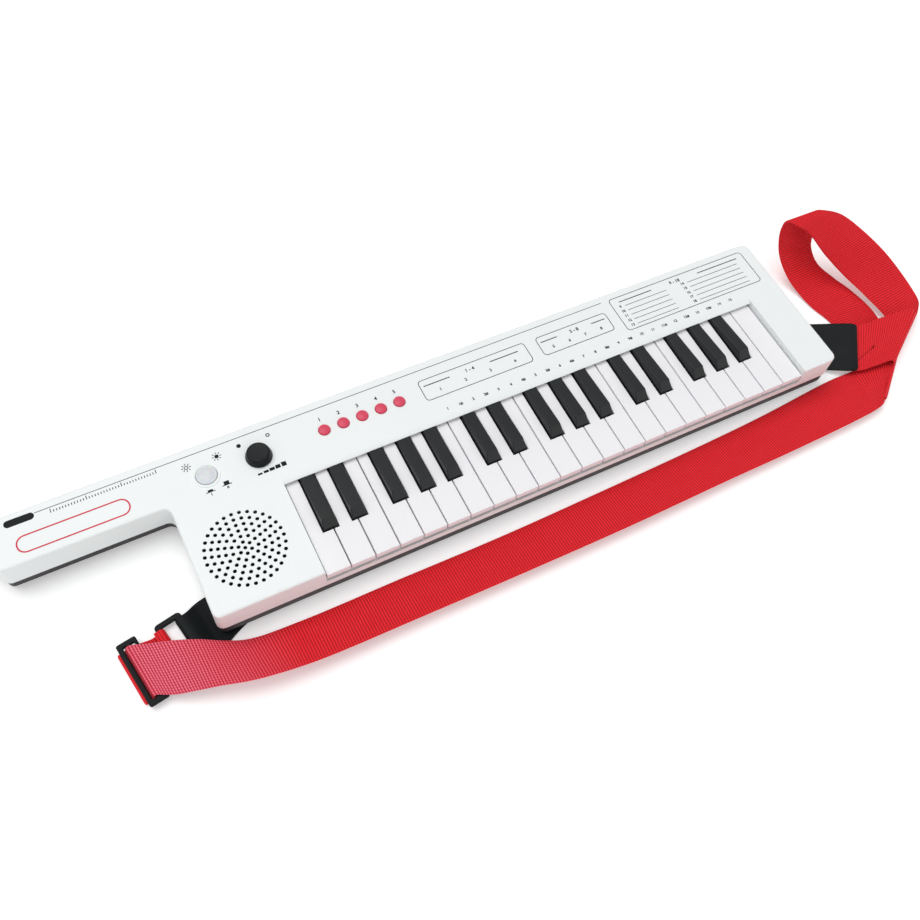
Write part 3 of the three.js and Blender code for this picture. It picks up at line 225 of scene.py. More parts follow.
for name, (energy, softness, travels) in LAMPS.items():
    lamp_data = bpy.data.lights.new(name, "SUN")
    lamp_data.energy = energy
    lamp_data.angle = math.radians(softness)
    lamp = bpy.data.objects.new(name, lamp_data)
    bpy.context.scene.collection.objects.link(lamp)
    lamp.rotation_euler = Vector(travels).normalized().to_track_quat("-Z", "Y").to_euler()
print("lamps", len(LAMPS), "sky", SKY_LEVEL)

# %% [markdown]
# ## Moulded plastic
# Nearly every hard piece here is injection moulded ABS or POM. Its colour runs through the whole piece, the steel
# mould leaves a fine spark-eroded grain, and handling polishes it a little in places. A flat colour would look
# like paint, so the finish has three scales: a slow drift of tone over centimetres, a patchy gloss, and the grain
# as a bump. The real grain is about 0.1 mm, too fine to show, so it is drawn two to four times as coarse.


# %% Moulded plastic from one recipe
def moulded_plastic(name, colour, second_colour, roughness, grain_mm, grain_depth_mm, specular, **more):
    """A moulded plastic: two close tones, a patchy gloss and a spark-eroded grain."""
    material, tree = new_finish(name)
    where = add(tree, "ShaderNodeTexCoord").outputs["Object"]
    tone = blend(tree, noise(tree, where, 28.0, 2.0), colour, second_colour)
    gloss = spread(tree, noise(tree, where, 90.0, 4.0), 0.0, 1.0, roughness - 0.06, roughness + 0.06)
    grain = noise(tree, where, 1.0 / (grain_mm * MM), 2.0, Roughness=0.6)
    finish_with(tree, {"Base Color": tone, "Roughness": gloss, "Normal": relief(tree, grain, 0.6, grain_depth_mm),
                       "IOR": 1.5, "Specular IOR Level": specular, **more})
    return material


# White ABS of the upper case: cool white, satin, so the panel reads clean and slightly soft.
case_white = moulded_plastic("white_abs_case", "#f5faf9", "#f9fcfc", 0.36, 0.35, 0.02, 0.45)
# Black ABS of the lower case: a warm dark grey once light falls on it, with a coarser grain than the keys.
case_black = moulded_plastic("black_abs_case", "#2b272a", "#322e31", 0.5, 0.45, 0.05, 0.35)
# White ABS of the keys: a touch of lavender, with a matt grain that fingers can feel.
key_white = moulded_plastic("white_abs_keys", "#f8f7fa", "#fbfafc", 0.42, 0.3, 0.03, 0.4)
# Black ABS of the keys: blue-black and satin, with a soft light line along each edge.
key_black = moulded_plastic("black_abs_keys", "#090d0e", "#0f1415", 0.33, 0.4, 0.03, 0.3)
# Black ABS of the knob: the same black with a finer, glossier skin.
knob_black = moulded_plastic("black_abs_knob", "#0b0e0f", "#101415", 0.36, 0.3, 0.02, 0.16)
# Red soft-touch PVC of the push buttons: light from inside lifts it towards pink.
button_red = moulded_plastic("red_pvc_buttons", "#dd3f5c", "#e24b67", 0.38, 0.3, 0.02, 0.4,
                             **{"Subsurface Weight": 0.12, "Subsurface Scale": 0.0015})
# Milky polypropylene of the power button: cloudy and a little see-through at its rim.
cap_milky = moulded_plastic("milky_polypropylene_cap", "#e2e7e9", "#eceff1", 0.34, 0.5, 0.012, 0.35,
                            **{"Subsurface Weight": 0.35, "Subsurface Scale": 0.003, "Transmission Weight": 0.06})
# Black POM of the ring, slider and tabs: waxy and dull, as acetal is.
strap_black = moulded_plastic("black_acetal_strap_parts", "#0b0f10", "#111617", 0.52, 0.5, 0.05, 0.12)
# Printed inks: flat on the panel, with the slight roughness of screen ink.
ink_black = moulded_plastic("black_screen_ink", "#0e1011", "#17191b", 0.6, 0.25, 0.01, 0.15)
ink_red = moulded_plastic("red_screen_ink", "#d3283c", "#da3145", 0.5, 0.25, 0.01, 0.3)
# Dark red sewing thread: twisted polyester, dull and deeper than the webbing.
thread_red = moulded_plastic("dark_red_polyester_thread", "#8e0d12", "#a01218", 0.7, 0.4, 0.08, 0.2)
# Black enamel of the loudspeaker basket: baked on pressed steel, smooth and dark behind the grille.
enamel_black = moulded_plastic("black_enamelled_steel", "#0a0a0b", "#111112", 0.45, 0.5, 0.01, 0.3)
# Grey silicone of the contact strip and dark rubber of the feet: dry, with a skin-like grain.
silicone = moulded_plastic("grey_silicone", "#8a9093", "#959b9e", 0.62, 0.5, 0.04, 0.3)
foot_rubber = moulded_plastic("dark_foot_rubber", "#1d1d1f", "#262628", 0.72, 0.5, 0.06, 0.25)
print("plastics", len([m for m in bpy.data.materials if m.use_nodes]) - 1)

# %% [markdown]
# ## Woven strap
# The strap is polyester webbing about 41 mm wide. Warp yarns run along it, and thick weft yarns cross them and
# stand out as ribs about 2 mm apart, so each yarn shows as a row of small beads. The weave could be modelled yarn by
# yarn, but at this distance colour and bump carry it. The pattern follows the strap's own UV map, which counts
# in widths, so the ribs stay square to the edges through every fold and twist.

# %% Polyester webbing
WEBBING_WIDTH = 41.0
RIB_PITCH = 2.1
YARN_PITCH = 2.0
SLIDER_PLACE = 26.4
# Red polyester webbing: dull ribs with a faint silky sheen, and painted shade of deeper red in the furrows.
webbing_red, tree = new_finish("red_polyester_webbing")
where = add(tree, "ShaderNodeTexCoord").outputs["UV"]
ribs = bands(tree, where, WEBBING_WIDTH / RIB_PITCH, "Y",
             **{"Distortion": 0.7, "Detail": 2.0, "Detail Scale": 2.0})
yarns = bands(tree, where, WEBBING_WIDTH / YARN_PITCH, "X", Distortion=0.4)
beads = add(tree, "ShaderNodeMath", {0: yarns, 1: 0.6, 2: 0.4}, operation="MULTIPLY_ADD")
height = times(tree, ribs, beads.outputs[0])
crest = blend(tree, noise(tree, where, 3.0, 3.0), "#f8222f", "#fe313d")
# On the last widths before the slider, where the strap rises over a hump, the crests are painted pink as a painted
# highlight.
along = add(tree, "ShaderNodeSeparateXYZ", {"Vector": where}).outputs["Y"]
painted_highlight = times(tree, spread(tree, along, SLIDER_PLACE - 2.6, SLIDER_PLACE - 0.6, 0.0, 0.85),
             spread(tree, along, SLIDER_PLACE, SLIDER_PLACE + 0.3, 1.0, 0.0))
# The furrows between the ribs take the deeper red as painted shade, and the crests keep the lighter red.
tone = blend(tree, spread(tree, height, 0.0, 0.7, 0.0, 1.0), "#be0a14", blend(tree, painted_highlight, crest, "#ff88a4"))
finish_with(tree, {"Base Color": tone, "Roughness": 0.72, "Normal": relief(tree, height, 0.8, 0.25), "IOR": 1.5,
                   "Specular IOR Level": 0.25, "Sheen Weight": 0.18, "Sheen Roughness": 0.45,
                   "Sheen Tint": linear("#ff8d95")})
print("rib pitch", RIB_PITCH, "mm, ribs per width", round(WEBBING_WIDTH / RIB_PITCH, 1))

# %% [markdown]
# ## Paper, glass fibre board and steel
# Inside are a paper loudspeaker cone, green circuit boards and nickel-plated steel. They only show through holes
# and gaps, but a section or an opened case shows them too. Paper is fibrous and dull, the board is a glass weave
# under green lacquer, and plated steel is a metal with fine drawing lines.

# %% Inner finishes
# Black pressed paper of the cone: fibrous and dull, the dark ground behind the grille.
cone_paper, tree = new_finish("black_cone_paper")
where = add(tree, "ShaderNodeTexCoord").outputs["Object"]
fibres = noise(tree, where, 900.0, 5.0)
finish_with(tree, {"Base Color": blend(tree, fibres, "#141416", "#242427"), "Roughness": 0.9,
                   "Normal": relief(tree, fibres, 0.7, 0.1), "Specular IOR Level": 0.2})

# Glass fibre board under green lacquer: glossy, with a fine square weave below the shine.
WEAVE_MM = 1.2
board_green, tree = new_finish("green_lacquered_fibre_board")
where = add(tree, "ShaderNodeTexCoord").outputs["Object"]
weave = times(tree, bands(tree, where, 1.0 / (WEAVE_MM * MM), "X"), bands(tree, where, 1.0 / (WEAVE_MM * MM), "Y"))
finish_with(tree, {"Base Color": blend(tree, weave, "#1f5436", "#2c6b47"), "Roughness": 0.28,
                   "Normal": relief(tree, weave, 0.3, 0.04), "IOR": 1.55})

# Nickel-plated steel of screws and sockets: a soft mirror with drawing lines one way.
plated_steel, tree = new_finish("nickel_plated_steel")
where = add(tree, "ShaderNodeTexCoord").outputs["Object"]
stretched = add(tree, "ShaderNodeMapping", {"Vector": where, "Scale": (300.0, 4000.0, 300.0)}).outputs["Vector"]
lines = noise(tree, stretched, 1.0, 3.0)
finish_with(tree, {"Base Color": blend(tree, lines, "#aeb1b4", "#c9cbcd"), "Metallic": 1.0,
                   "Roughness": spread(tree, lines, 0.0, 1.0, 0.22, 0.4),
                   "Normal": relief(tree, lines, 0.2, 0.01)})
print("finishes", len(bpy.data.materials))

# %% [markdown]
# ## Bench habits
# A few small habits keep the modelling safe. Only one piece is ever selected, unless pieces are joined. Edges are
# picked by where they are and by how sharp they are. Curved faces are shaded smooth while flat ones keep their own
# normals, and a finished piece is handed over with its place in its mesh, its finish, and the body it moves with.


# %% Bench helpers
def only(piece):
    """Selects one piece and nothing else."""
    bpy.ops.object.select_all(action="DESELECT")
    piece.select_set(True)
    bpy.context.view_layer.objects.active = piece


def join(piece, others):
    """Joins other pieces to a piece."""
    only(piece)
    for other in others:
        other.select_set(True)
    if others:
        bpy.ops.object.join()


def block(x, y, z, size, turned_by=0.0):
    """A block to cut with, of a given size about a point, in millimetres."""
    bpy.ops.object.select_all(action="DESELECT")
    bpy.ops.mesh.primitive_cube_add(size=1.0, location=at(x, y, z), rotation=(0, 0, turned_by))
    tool = bpy.context.object
    tool.scale = Vector(size) * MM
    return tool


def cut(piece, tool):
    """Cuts a tool's shape out of a piece and takes the tool away."""
    only(piece)
    carving = piece.modifiers.new("cut", "BOOLEAN")
    carving.operation = "DIFFERENCE"
    carving.solver = "EXACT"
    carving.object = tool
    bpy.ops.object.modifier_apply(modifier=carving.name)
    bpy.data.objects.remove(tool, do_unlink=True)


def copy_of(node, name):
    """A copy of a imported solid's mesh with its loose triangles merged, and flat faces made whole."""
    piece = bpy.data.objects.new(name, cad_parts[node].data.copy())
    bpy.context.scene.collection.objects.link(piece)
    piece.data.materials.clear()
    only(piece)
    bpy.ops.object.mode_set(mode="EDIT")
    bpy.ops.mesh.select_all(action="SELECT")
    bpy.ops.mesh.remove_doubles(threshold=0.002 * MM)
    bpy.ops.mesh.dissolve_limited(angle_limit=math.radians(0.5))
    bpy.ops.object.mode_set(mode="OBJECT")
    return piece


def pick_edges(piece, wanted):
    """In edit mode, selects the sharp edges whose two ends, in keyboard millimetres, are wanted."""
    bpy.ops.object.mode_set(mode="EDIT")
    bpy.context.tool_settings.mesh_select_mode = (False, True, False)
    bpy.ops.mesh.select_all(action="DESELECT")
    mesh = bmesh.from_edit_mesh(piece.data)
    picked = 0
    for edge in mesh.edges:
        a, b = ((vertex.co - keyboard_corner) / MM for vertex in edge.verts)
        if edge.is_manifold and edge.calc_face_angle(0.0) > math.radians(25) and wanted(a, b):
            edge.select_set(True)
            picked += 1
    bmesh.update_edit_mesh(piece.data)
    return picked


def soften(piece, width_mm, segments):
    """Rounds the picked edges and leaves edit mode."""
    bpy.ops.mesh.bevel(offset=width_mm * MM, segments=segments, profile=0.5, affect="EDGES", clamp_overlap=False)
    bpy.ops.object.mode_set(mode="OBJECT")


def shade(piece, angle=35):
    """Smooth shading up to an angle, with normals that keep the flat faces flat."""
    only(piece)
    bpy.ops.object.shade_smooth_by_angle(angle=math.radians(angle))
    even = piece.modifiers.new("even_normals", "WEIGHTED_NORMAL")
    even.keep_sharp = True
    bpy.ops.object.modifier_apply(modifier=even.name)


def hand_over(piece, finish, body, slot, *nodes):
    """Settles a finished piece: its place goes into its mesh, and it gets its finish and body. The slot is not used.
    """
    only(piece)
    bpy.ops.object.transform_apply(location=True, rotation=True, scale=True)
    if not piece.data.materials:
        piece.data.materials.append(finish)
    if nodes:
        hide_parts(*nodes)
    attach(piece, body)
    return piece


print("bench ready")

# %% [markdown]
# ## Round pieces
# Buttons, knobs, cones and screw heads are round about an upright axis. They could be spun from a drawn profile.
# Here they grow like clay on a wheel: a disc is added, and its top face is extruded and scaled ring by ring,
# which keeps the sides in clean quads and the piece closed from the first step.


# %% Raise a round piece ring by ring
def raise_rings(name, x, y, rings, sides):
    """A closed round piece about the axis at x, y, through rings of radius and height in millimetres."""
    radius, height = rings[0]
    bpy.ops.object.select_all(action="DESELECT")
    bpy.ops.mesh.primitive_circle_add(vertices=sides, radius=radius * MM, fill_type="NGON",
                                      location=at(x, y, height))
    piece = bpy.context.object
    piece.name = name
    bpy.ops.object.mode_set(mode="EDIT")
    bpy.context.tool_settings.mesh_select_mode = (False, False, True)
    bpy.ops.mesh.select_all(action="SELECT")
    for next_radius, next_height in rings[1:]:
        bpy.ops.mesh.extrude_region_move(
            TRANSFORM_OT_translate={"value": (0.0, 0.0, (next_height - height) * MM)})
        share = next_radius / radius
        bpy.ops.transform.resize(value=(share, share, 1.0), center_override=at(x, y, next_height))
        radius, height = next_radius, next_height
    bpy.ops.mesh.select_all(action="SELECT")
    bpy.ops.mesh.normals_make_consistent(inside=False)
    bpy.ops.object.mode_set(mode="OBJECT")
    return piece


def twin(piece, name, move):
    """A copy of a piece with its own mesh, moved by a vector in millimetres."""
    other = piece.copy()
    other.data = piece.data.copy()
    other.name = name
    bpy.context.scene.collection.objects.link(other)
    other.data.transform(Matrix.Translation(Vector(move) * MM))
    return other


print("wheel ready")

# %% [markdown]
# ## White upper case
# The upper case is one white moulding with rounded rims, a key bay and a drilled grille. Its solid already has the
# right shape, so a copy of it is kept. The grille holes of the solid are plain hexagons. Real ones are round, with
# a small countersink that catches the light and a wider bore from below that leaves only a thin skin on top, which
# is why they look dark. A set of stepped pegs is cut out of the copy.

# %% Upper case with round, countersunk grille holes
PANEL = 36.0
GRILLE = (-43.6, 41.2)
HOLE_RADIUS = 1.4
RING_PITCH = 4.7
RING_HOLES = [6, 11, 16, 21, 26, 31]
case_top = copy_of("upper_shell", "case_top")

peg = raise_rings("grille_peg", GRILLE[0], GRILLE[1], [
    (HOLE_RADIUS + 0.5, PANEL - 3.0), (HOLE_RADIUS + 0.5, PANEL - 0.9), (HOLE_RADIUS, PANEL - 0.7),
    (HOLE_RADIUS, PANEL - 0.2), (HOLE_RADIUS + 0.18, PANEL + 0.02), (HOLE_RADIUS + 0.18, PANEL + 1.0)], 16)
pegs = []
for ring, count in enumerate(RING_HOLES, start=1):
    for hole in range(count):
        angle = math.pi / 2 + 2 * math.pi * hole / count
        reach = RING_PITCH * ring
        pegs.append(twin(peg, "grille_peg", (reach * math.cos(angle), reach * math.sin(angle), 0)))
join(peg, pegs)
cut(case_top, peg)
shade(case_top)
hand_over(case_top, case_white, "case", "white_case", "upper_shell")
print("grille holes", 1 + len(pegs), "faces", len(case_top.data.polygons))

# %% [markdown]
# ## Black lower case
# The lower case is one black moulding. Its seven feet are rubber pads stuck into it, so on the copy the faces of
# the feet get rubber and the rest stays plastic. The battery cover is a separate plate with finger grooves.

# %% Lower case, rubber feet and battery cover
FOOT_TOP = 2.0
case_base = copy_of("lower_shell", "case_base")
case_base.data.materials.append(case_black)
case_base.data.materials.append(foot_rubber)
rubber_faces = 0
for face in case_base.data.polygons:
    below_top = all(case_base.data.vertices[v].co.z < (FOOT_TOP + 0.05) * MM for v in face.vertices)
    if below_top and face.center.z < (FOOT_TOP - 0.1) * MM:
        face.material_index = 1
        rubber_faces += 1
shade(case_base)
hand_over(case_base, case_black, "case", "black_case", "lower_shell")
battery_cover = copy_of("battery_door", "battery_cover")
pick_edges(battery_cover, lambda a, b: max(a.z, b.z) < 2.1)
soften(battery_cover, 0.15, 2)
shade(battery_cover)
hand_over(battery_cover, case_black, "case", "black_case", "battery_door")
print("rubber faces", rubber_faces)

# %% [markdown]
# ## Screws
# Seven cross-head screws hold the deep case together from below, two more the neck, and one each strap tab. Each
# is a low domed head with a cross. The head is raised on the wheel, and two thin blocks cut the cross out of its
# crown. One screw is made and copied to the other places in the case and the neck.

# %% One screw head and its copies
BOSS_INSET = 9.0
CASE = {"left": -81.0, "right": 452.0, "depth": 134.0, "neck_front": 93.0, "tip": -199.5}
left_row, right_row = CASE["left"] + BOSS_INSET, CASE["right"] - BOSS_INSET
front_row, rear_row = BOSS_INSET, CASE["depth"] - BOSS_INSET
deep_screws = [(left_row, rear_row), (left_row, front_row), (-BOSS_INSET, front_row), (right_row, front_row),
               (right_row, rear_row), (134.0, rear_row), (236.5, rear_row)]
neck_middle = (CASE["neck_front"] + CASE["depth"]) / 2
neck_screws = [(CASE["tip"] + BOSS_INSET, neck_middle), (CASE["left"] - 2 * BOSS_INSET, neck_middle)]
HEAD = 2.7
first_x, first_y = deep_screws[0]
screw = raise_rings("case_screw_01", first_x, first_y, [
    (HEAD, 4.5), (HEAD, 4.1), (HEAD * 0.93, 3.6), (HEAD * 0.72, 3.25), (HEAD * 0.4, 3.1)], 24)
for turned_by in (0.0, math.pi / 2):
    cut(screw, block(first_x, first_y, 3.1, (2.8, 0.6, 1.4), turned_by))
shade(screw)
screws = [screw]
for count, (x, y) in enumerate(deep_screws[1:], start=2):
    screws.append(twin(screw, f"case_screw_{count:02d}", (x - first_x, y - first_y, 0)))
for count, (x, y) in enumerate(neck_screws, start=len(deep_screws) + 1):
    screws.append(twin(screw, f"case_screw_{count:02d}", (x - first_x, y - first_y, 1.0)))
for piece in screws:
    hand_over(piece, plated_steel, "case", "socket_metal")
print("screws", len(screws))

# %% [markdown]
# ## Keys
# A white key is a thin-walled moulding with eased upper edges, and a black key has a chamfered, sloping front and
# soft long edges that carry a light line. Each solid already has its hollow, plunger and pivot, so each copy only
# gets its outer edges rounded. The hollow is left crisp, because nobody sees it.

# %% White keys
WHITE_KEYS = 22
KEY_PITCH = 19.0
KEY_TOP = 30.7
for number in range(1, WHITE_KEYS + 1):
    name = f"white_key_{number:02d}"
    key = copy_of(name, f"white_key_cap_{number:02d}")
    pick_edges(key, lambda a, b: min(a.z, b.z) > KEY_TOP - 0.1 or (max(a.y, b.y) < 0.1 and abs(a.z - b.z) > 1))
    soften(key, 0.55, 3)
    shade(key)
    hand_over(key, key_white, name, "white_keys", name)
print("white keys", WHITE_KEYS)

# %% Black keys
OCTAVE = [(1, -0.1), (2, 0.09), (4, -0.2), (5, 0.0), (6, 0.16)]
BLACK_FOOT = 30.5
BLACK_REAR = 80.3
black_middles = [(7 * octave + boundary + offset) * KEY_PITCH
                 for octave in range(4) for boundary, offset in OCTAVE if 7 * octave + boundary < WHITE_KEYS]
for number, middle in enumerate(black_middles, start=1):
    name = f"black_key_{number:02d}"
    key = copy_of(name, f"black_key_cap_{number:02d}")
    pick_edges(key, lambda a, b: min(abs(a.x - middle), abs(b.x - middle)) > 4.2
               and max(a.z, b.z) > BLACK_FOOT and min(a.y, b.y) < BLACK_REAR)
    soften(key, 0.8, 3)
    shade(key, 30)
    hand_over(key, key_black, name, "black_keys", name)
print("black keys", len(black_middles))

# %% [markdown]
# ## Push buttons, power button and knob
# The five red caps stand 2 mm proud of the panel with a low dome and a rounded shoulder. The power button is
# wider, cloudy white, and sits in a raised rim of the panel. The volume knob is a cone with a flat top, a soft
# shoulder and a moulded pointer groove. All of them are raised on the wheel, from stem to crown.

# %% Red caps
BUTTON_ROW = 107.0
FIRST_BUTTON = 43.7
BUTTON_PITCH = 15.5
BUTTON_NODES = ["button_one_key", "button_sounds", "button_rhythms", "button_demo", "button_stop"]
cap = raise_rings("red_cap_1", FIRST_BUTTON, BUTTON_ROW, [
    (1.6, 29.5), (1.6, 32.0), (5.8, 32.0), (5.8, 33.5), (4.5, 33.5), (4.5, 36.85), (4.38, 37.1), (4.05, 37.3),
    (3.7, 37.42), (3.0, 37.66), (2.0, 37.86), (1.0, 37.97), (0.3, 38.0)], 48)
shade(cap)
caps = [cap] + [twin(cap, f"red_cap_{i + 1}", (BUTTON_PITCH * i, 0, 0)) for i in range(1, 5)]
for cap, node in zip(caps, BUTTON_NODES):
    hand_over(cap, button_red, node, "red_plastic", node)
print("red caps", len(caps))

# %% Power button
POWER = (-48.5, 106.2)
power_cap = raise_rings("power_cap", POWER[0], POWER[1], [
    (2.0, 28.4), (2.0, 31.6), (9.8, 31.6), (9.8, 33.4), (7.8, 33.4), (7.8, 37.3), (7.6, 37.75), (7.1, 37.95),
    (6.6, 38.02), (6.2, 37.85), (5.9, 37.85), (5.5, 38.1), (4.2, 38.38), (2.5, 38.54), (1.0, 38.6)], 64)
shade(power_cap)
hand_over(power_cap, cap_milky, "power_button", "milky_plastic", "power_button")
print("power cap", [round(value / MM, 1) for value in power_cap.dimensions])

# %% Volume knob with its pointer groove
KNOB = (-8.6, 105.8)
knob = raise_rings("volume_knob_cap", KNOB[0], KNOB[1], [
    (3.0, 28.0), (3.0, 36.4), (9.8, 36.4), (10.0, 36.6), (10.0, 37.2), (9.8, 37.5), (8.75, 41.4), (8.5, 41.85),
    (8.15, 42.3), (7.7, 42.58), (7.2, 42.7), (6.9, 42.7), (6.7, 42.6), (2.0, 42.52)], 64)
cut(knob, block(KNOB[0], KNOB[1] + 5.35, 42.7, (1.0, 4.5, 1.0)))
shade(knob, 40)
hand_over(knob, knob_black, "volume_knob", "black_plastic", "volume_knob")
print("knob", [round(value / MM, 1) for value in knob.dimensions])

# %% [markdown]
# ## Loudspeaker
# A 64 mm loudspeaker sits under the grille: a black enamelled basket with its magnet, a rolled surround, a paper
# cone and a dust cap. Only glimpses show through the holes, and it is raised on the wheel as two pieces, so the
# paper and the enamel each keep their own finish.

# %% Basket and cone
basket = raise_rings("speaker_basket", GRILLE[0], GRILLE[1], [
    (17.4, 12.0), (18.0, 12.6), (18.0, 19.4), (17.4, 20.0), (15.0, 20.0), (17.5, 22.5), (27.2, 31.6), (31.6, 31.9),
    (32.0, 32.2), (32.0, 33.2), (31.6, 33.5), (28.6, 33.5), (28.4, 32.7), (26.8, 32.3), (9.0, 24.2)], 64)
shade(basket)
hand_over(basket, enamel_black, "case", "paper_cone", "speaker")
cone = raise_rings("speaker_cone", GRILLE[0], GRILLE[1], [
    (28.3, 32.75), (28.3, 33.0), (27.6, 33.4), (26.4, 33.5), (25.2, 33.3), (24.4, 32.9), (23.4, 32.7),
    (16.0, 29.6), (9.2, 26.4), (8.8, 26.6), (7.2, 27.6), (4.6, 28.4), (2.0, 28.8), (0.5, 28.9)], 64)
shade(cone, 50)
hand_over(cone, cone_paper, "case", "paper_cone")
print("cone", [round(value / MM, 1) for value in cone.dimensions])

# %% [markdown]
# ## Strap path
# The strap is one band that starts under the right tab, makes two soft folds and a standing loop, runs along the
# front of the case, turns through the slider and comes back under it round the ring. Each station below gives the
# two edges of the band in millimetres. A smooth curve through each row of edges is what a stiff webbing does.

# %% Stations and a smooth curve through them
STATIONS = [
    (492.99, 38, 8.4, 470.99, 6, 3.89),
    (507, 30, 13, 483.49, -6.5, 6.99),
    (535, 26.5, 16.3, 500, -9.8, 9.6),
    (560.5, 22.19, 19, 515.2, -11.89, 11.1),
    (562.8, 18.7, 17.2, 516.19, -13.51, 10.3),
    (563.81, 17.2, 13, 516.59, -14.1, 8.49),
    (571.03, 21.2, 11, 516.19, -13.51, 6.71),
    (577.92, 26.7, 10.3, 515.2, -11.89, 5.91),
    (579.98, 30.1, 11, 527.99, 6, 5.79),
    (580.64, 33.86, 12.01, 543.42, 24.91, 5.79),
    (579.71, 53.31, 17, 537.95, 53.14, 11),
    (568.23, 77.77, 31.01, 527.78, 78.39, 17.99),
    (553.53, 100.74, 43, 512.01, 96.33, 33.99),
    (536.81, 115.71, 54, 497.97, 110.66, 51),
    (523.07, 121.41, 58.99, 486.29, 117.51, 58.99),
    (513.87, 124.49, 60, 480.76, 125.4, 58.99),
    (519, 126.01, 49, 480, 126.41, 49),
    (521, 122.49, 33, 480.38, 122.78, 36.01),
    (521.32, 117.74, 17.99, 481.21, 115.14, 24),
    (523.18, 104.67, 8, 484.82, 100.68, 11),
    (529.74, 85.59, 5, 489.46, 85.54, 3.5),
    (535.65, 69.1, 4.5, 492.94, 67.62, 1.2),
    (540.66, 44.9, 3.59, 498.01, 50.01, 0.89),
    (541.5, 28.01, 1.2, 500.5, 20.01, 1.04),
    (540.49, 12.01, 1.01, 497, -9.99, 1.25),
    (537.34, 0.82, 0.95, 488.17, -36.75, 1.25),
    (537.81, 0.25, 1.25, 489.46, -38.34, 2.09),
    (538, 0, 1.99, 489.99, -39.01, 4.14),
    (537.81, 0.25, 2.74, 489.46, -38.34, 6.19),
    (537.34, 0.82, 3.06, 488.17, -36.75, 7.05),
    (514.01, -1.8, 2.7, 484.01, -42.2, 7.39),
    (480.49, -3, 1.99, 474.6, -44.9, 8),
    (458.91, -2.6, 1.5, 454.99, -46.61, 8.21),
    (382, -7.81, 1.01, 384.01, -48.6, 8.61),
    (320, -10.3, 1.01, 320, -49.31, 9.6),
    (223.59, -12.5, 1.01, 223.59, -51, 10.79),
    (134.01, -13.79, 1.01, 134.01, -50.6, 11),
    (51.4, -12.9, 1.01, 51.4, -49.61, 11.7),
    (-27, -12.41, 1.5, -27, -48.7, 14.31),
    (-63.5, -10.11, 3, -60, -46, 17.4),
    (-80.01, -4.81, 5.6, -76, -43.0, 17.7),
    (-94.39, 1.9, 8.7, -92, -38.0, 16.3),
    (-108, 7.5, 9.6, -104.5, -34.3, 14.2),
    (-118.01, 11.0, 9.6, -112.99, -31.7, 12.4),
    (-126.5, 13.6, 9.25, -121.5, -28.6, 10.0),
    (-134.5, 16.6, 8.85, -128.6, -25.0, 8.85),
    (-138.6, 17.9, 8.8, -132.1, -23.2, 8.8),
    (-140.87, 18.24, 8.46, -134.03, -22.59, 8.46),
    (-142.14, 18.03, 7.39, -135.3, -22.8, 7.39),
    (-142.59, 17.95, 5.6, -135.75, -22.88, 5.6),
    (-143.43, 17.82, 3.8, -136.59, -23.01, 3.8),
    (-144.82, 17.59, 3.19, -137.98, -23.24, 3.19),
    (-146.68, 17.27, 3.1, -139.84, -23.56, 3.1),
    (-148.35, 16.99, 2.79, -141.51, -23.84, 2.79),
    (-149.15, 16.85, 1.96, -142.31, -23.98, 1.96),
    (-148.35, 16.99, 1.16, -141.51, -23.84, 1.16),
    (-146.19, 17.37, 0.95, -139.35, -23.47, 0.95),
    (-139.78, 18.43, 0.95, -132.94, -22.4, 0.95),
    (-132.87, 19.59, 0.95, -126.03, -21.24, 0.95),
    (-124.87, 19.21, 1.1, -116.74, -20.98, 1.1),
    (-119.97, 20.2, 1.6, -111.83, -19.97, 1.6),
    (-117.42, 20.73, 1.75, -109.29, -19.46, 1.75),
    (-115.8, 21.05, 2.7, -107.65, -19.13, 2.7),
    (-115.22, 21.17, 4.45, -107.08, -19.02, 4.45),
    (-115.8, 21.05, 6.19, -107.65, -19.13, 6.19),
    (-117.42, 20.73, 7.2, -109.29, -19.46, 7.2),
    (-119.97, 20.2, 7.26, -111.83, -19.97, 7.26),
    (-122.13, 19.76, 6.95, -113.98, -20.41, 6.95),
]


def curve_point(points, place):
    """The point of a centripetal curve through the points, at a place counted in points."""
    first = min(int(place), len(points) - 2)
    share = place - first
    p1, p2 = points[first], points[first + 1]
    p0 = points[first - 1] if first else p1 * 2 - p2
    p3 = points[first + 2] if first + 2 < len(points) else p2 * 2 - p1
    before, here, after = (max((q - p).length_squared ** 0.25, 0.0001) for p, q in ((p0, p1), (p1, p2), (p2, p3)))
    leave = ((p1 - p0) / before - (p2 - p0) / (before + here) + (p2 - p1) / here) * here
    arrive = ((p2 - p1) / here - (p3 - p1) / (here + after) + (p3 - p2) / after) * here
    square, cube = share * share, share * share * share
    return (p1 * (2 * cube - 3 * square + 1) + leave * (cube - 2 * square + share)
            + p2 * (3 * square - 2 * cube) + arrive * (cube - square))


print("strap stations", len(STATIONS))

# %% [markdown]
# ## Strap and tabs as bands
# A band needs a real thickness, rounded selvages and a UV map that follows it. It is built as a row of
# cross-sections along the path. Each section is a flattened loop that thins at its edges, and the UV map counts
# along and across in widths of the webbing. The two moulded tabs are bands of the same kind, a little thicker.

# %% Build a band along its stations
SECTION = [(0.0, 0.0), (0.008, 0.55), (0.03, 0.9), (0.07, 1.0), (0.2, 1.0), (0.35, 1.0), (0.5, 1.0),
           (0.65, 1.0), (0.8, 1.0), (0.93, 1.0), (0.97, 0.9), (0.992, 0.55), (1.0, 0.0)]


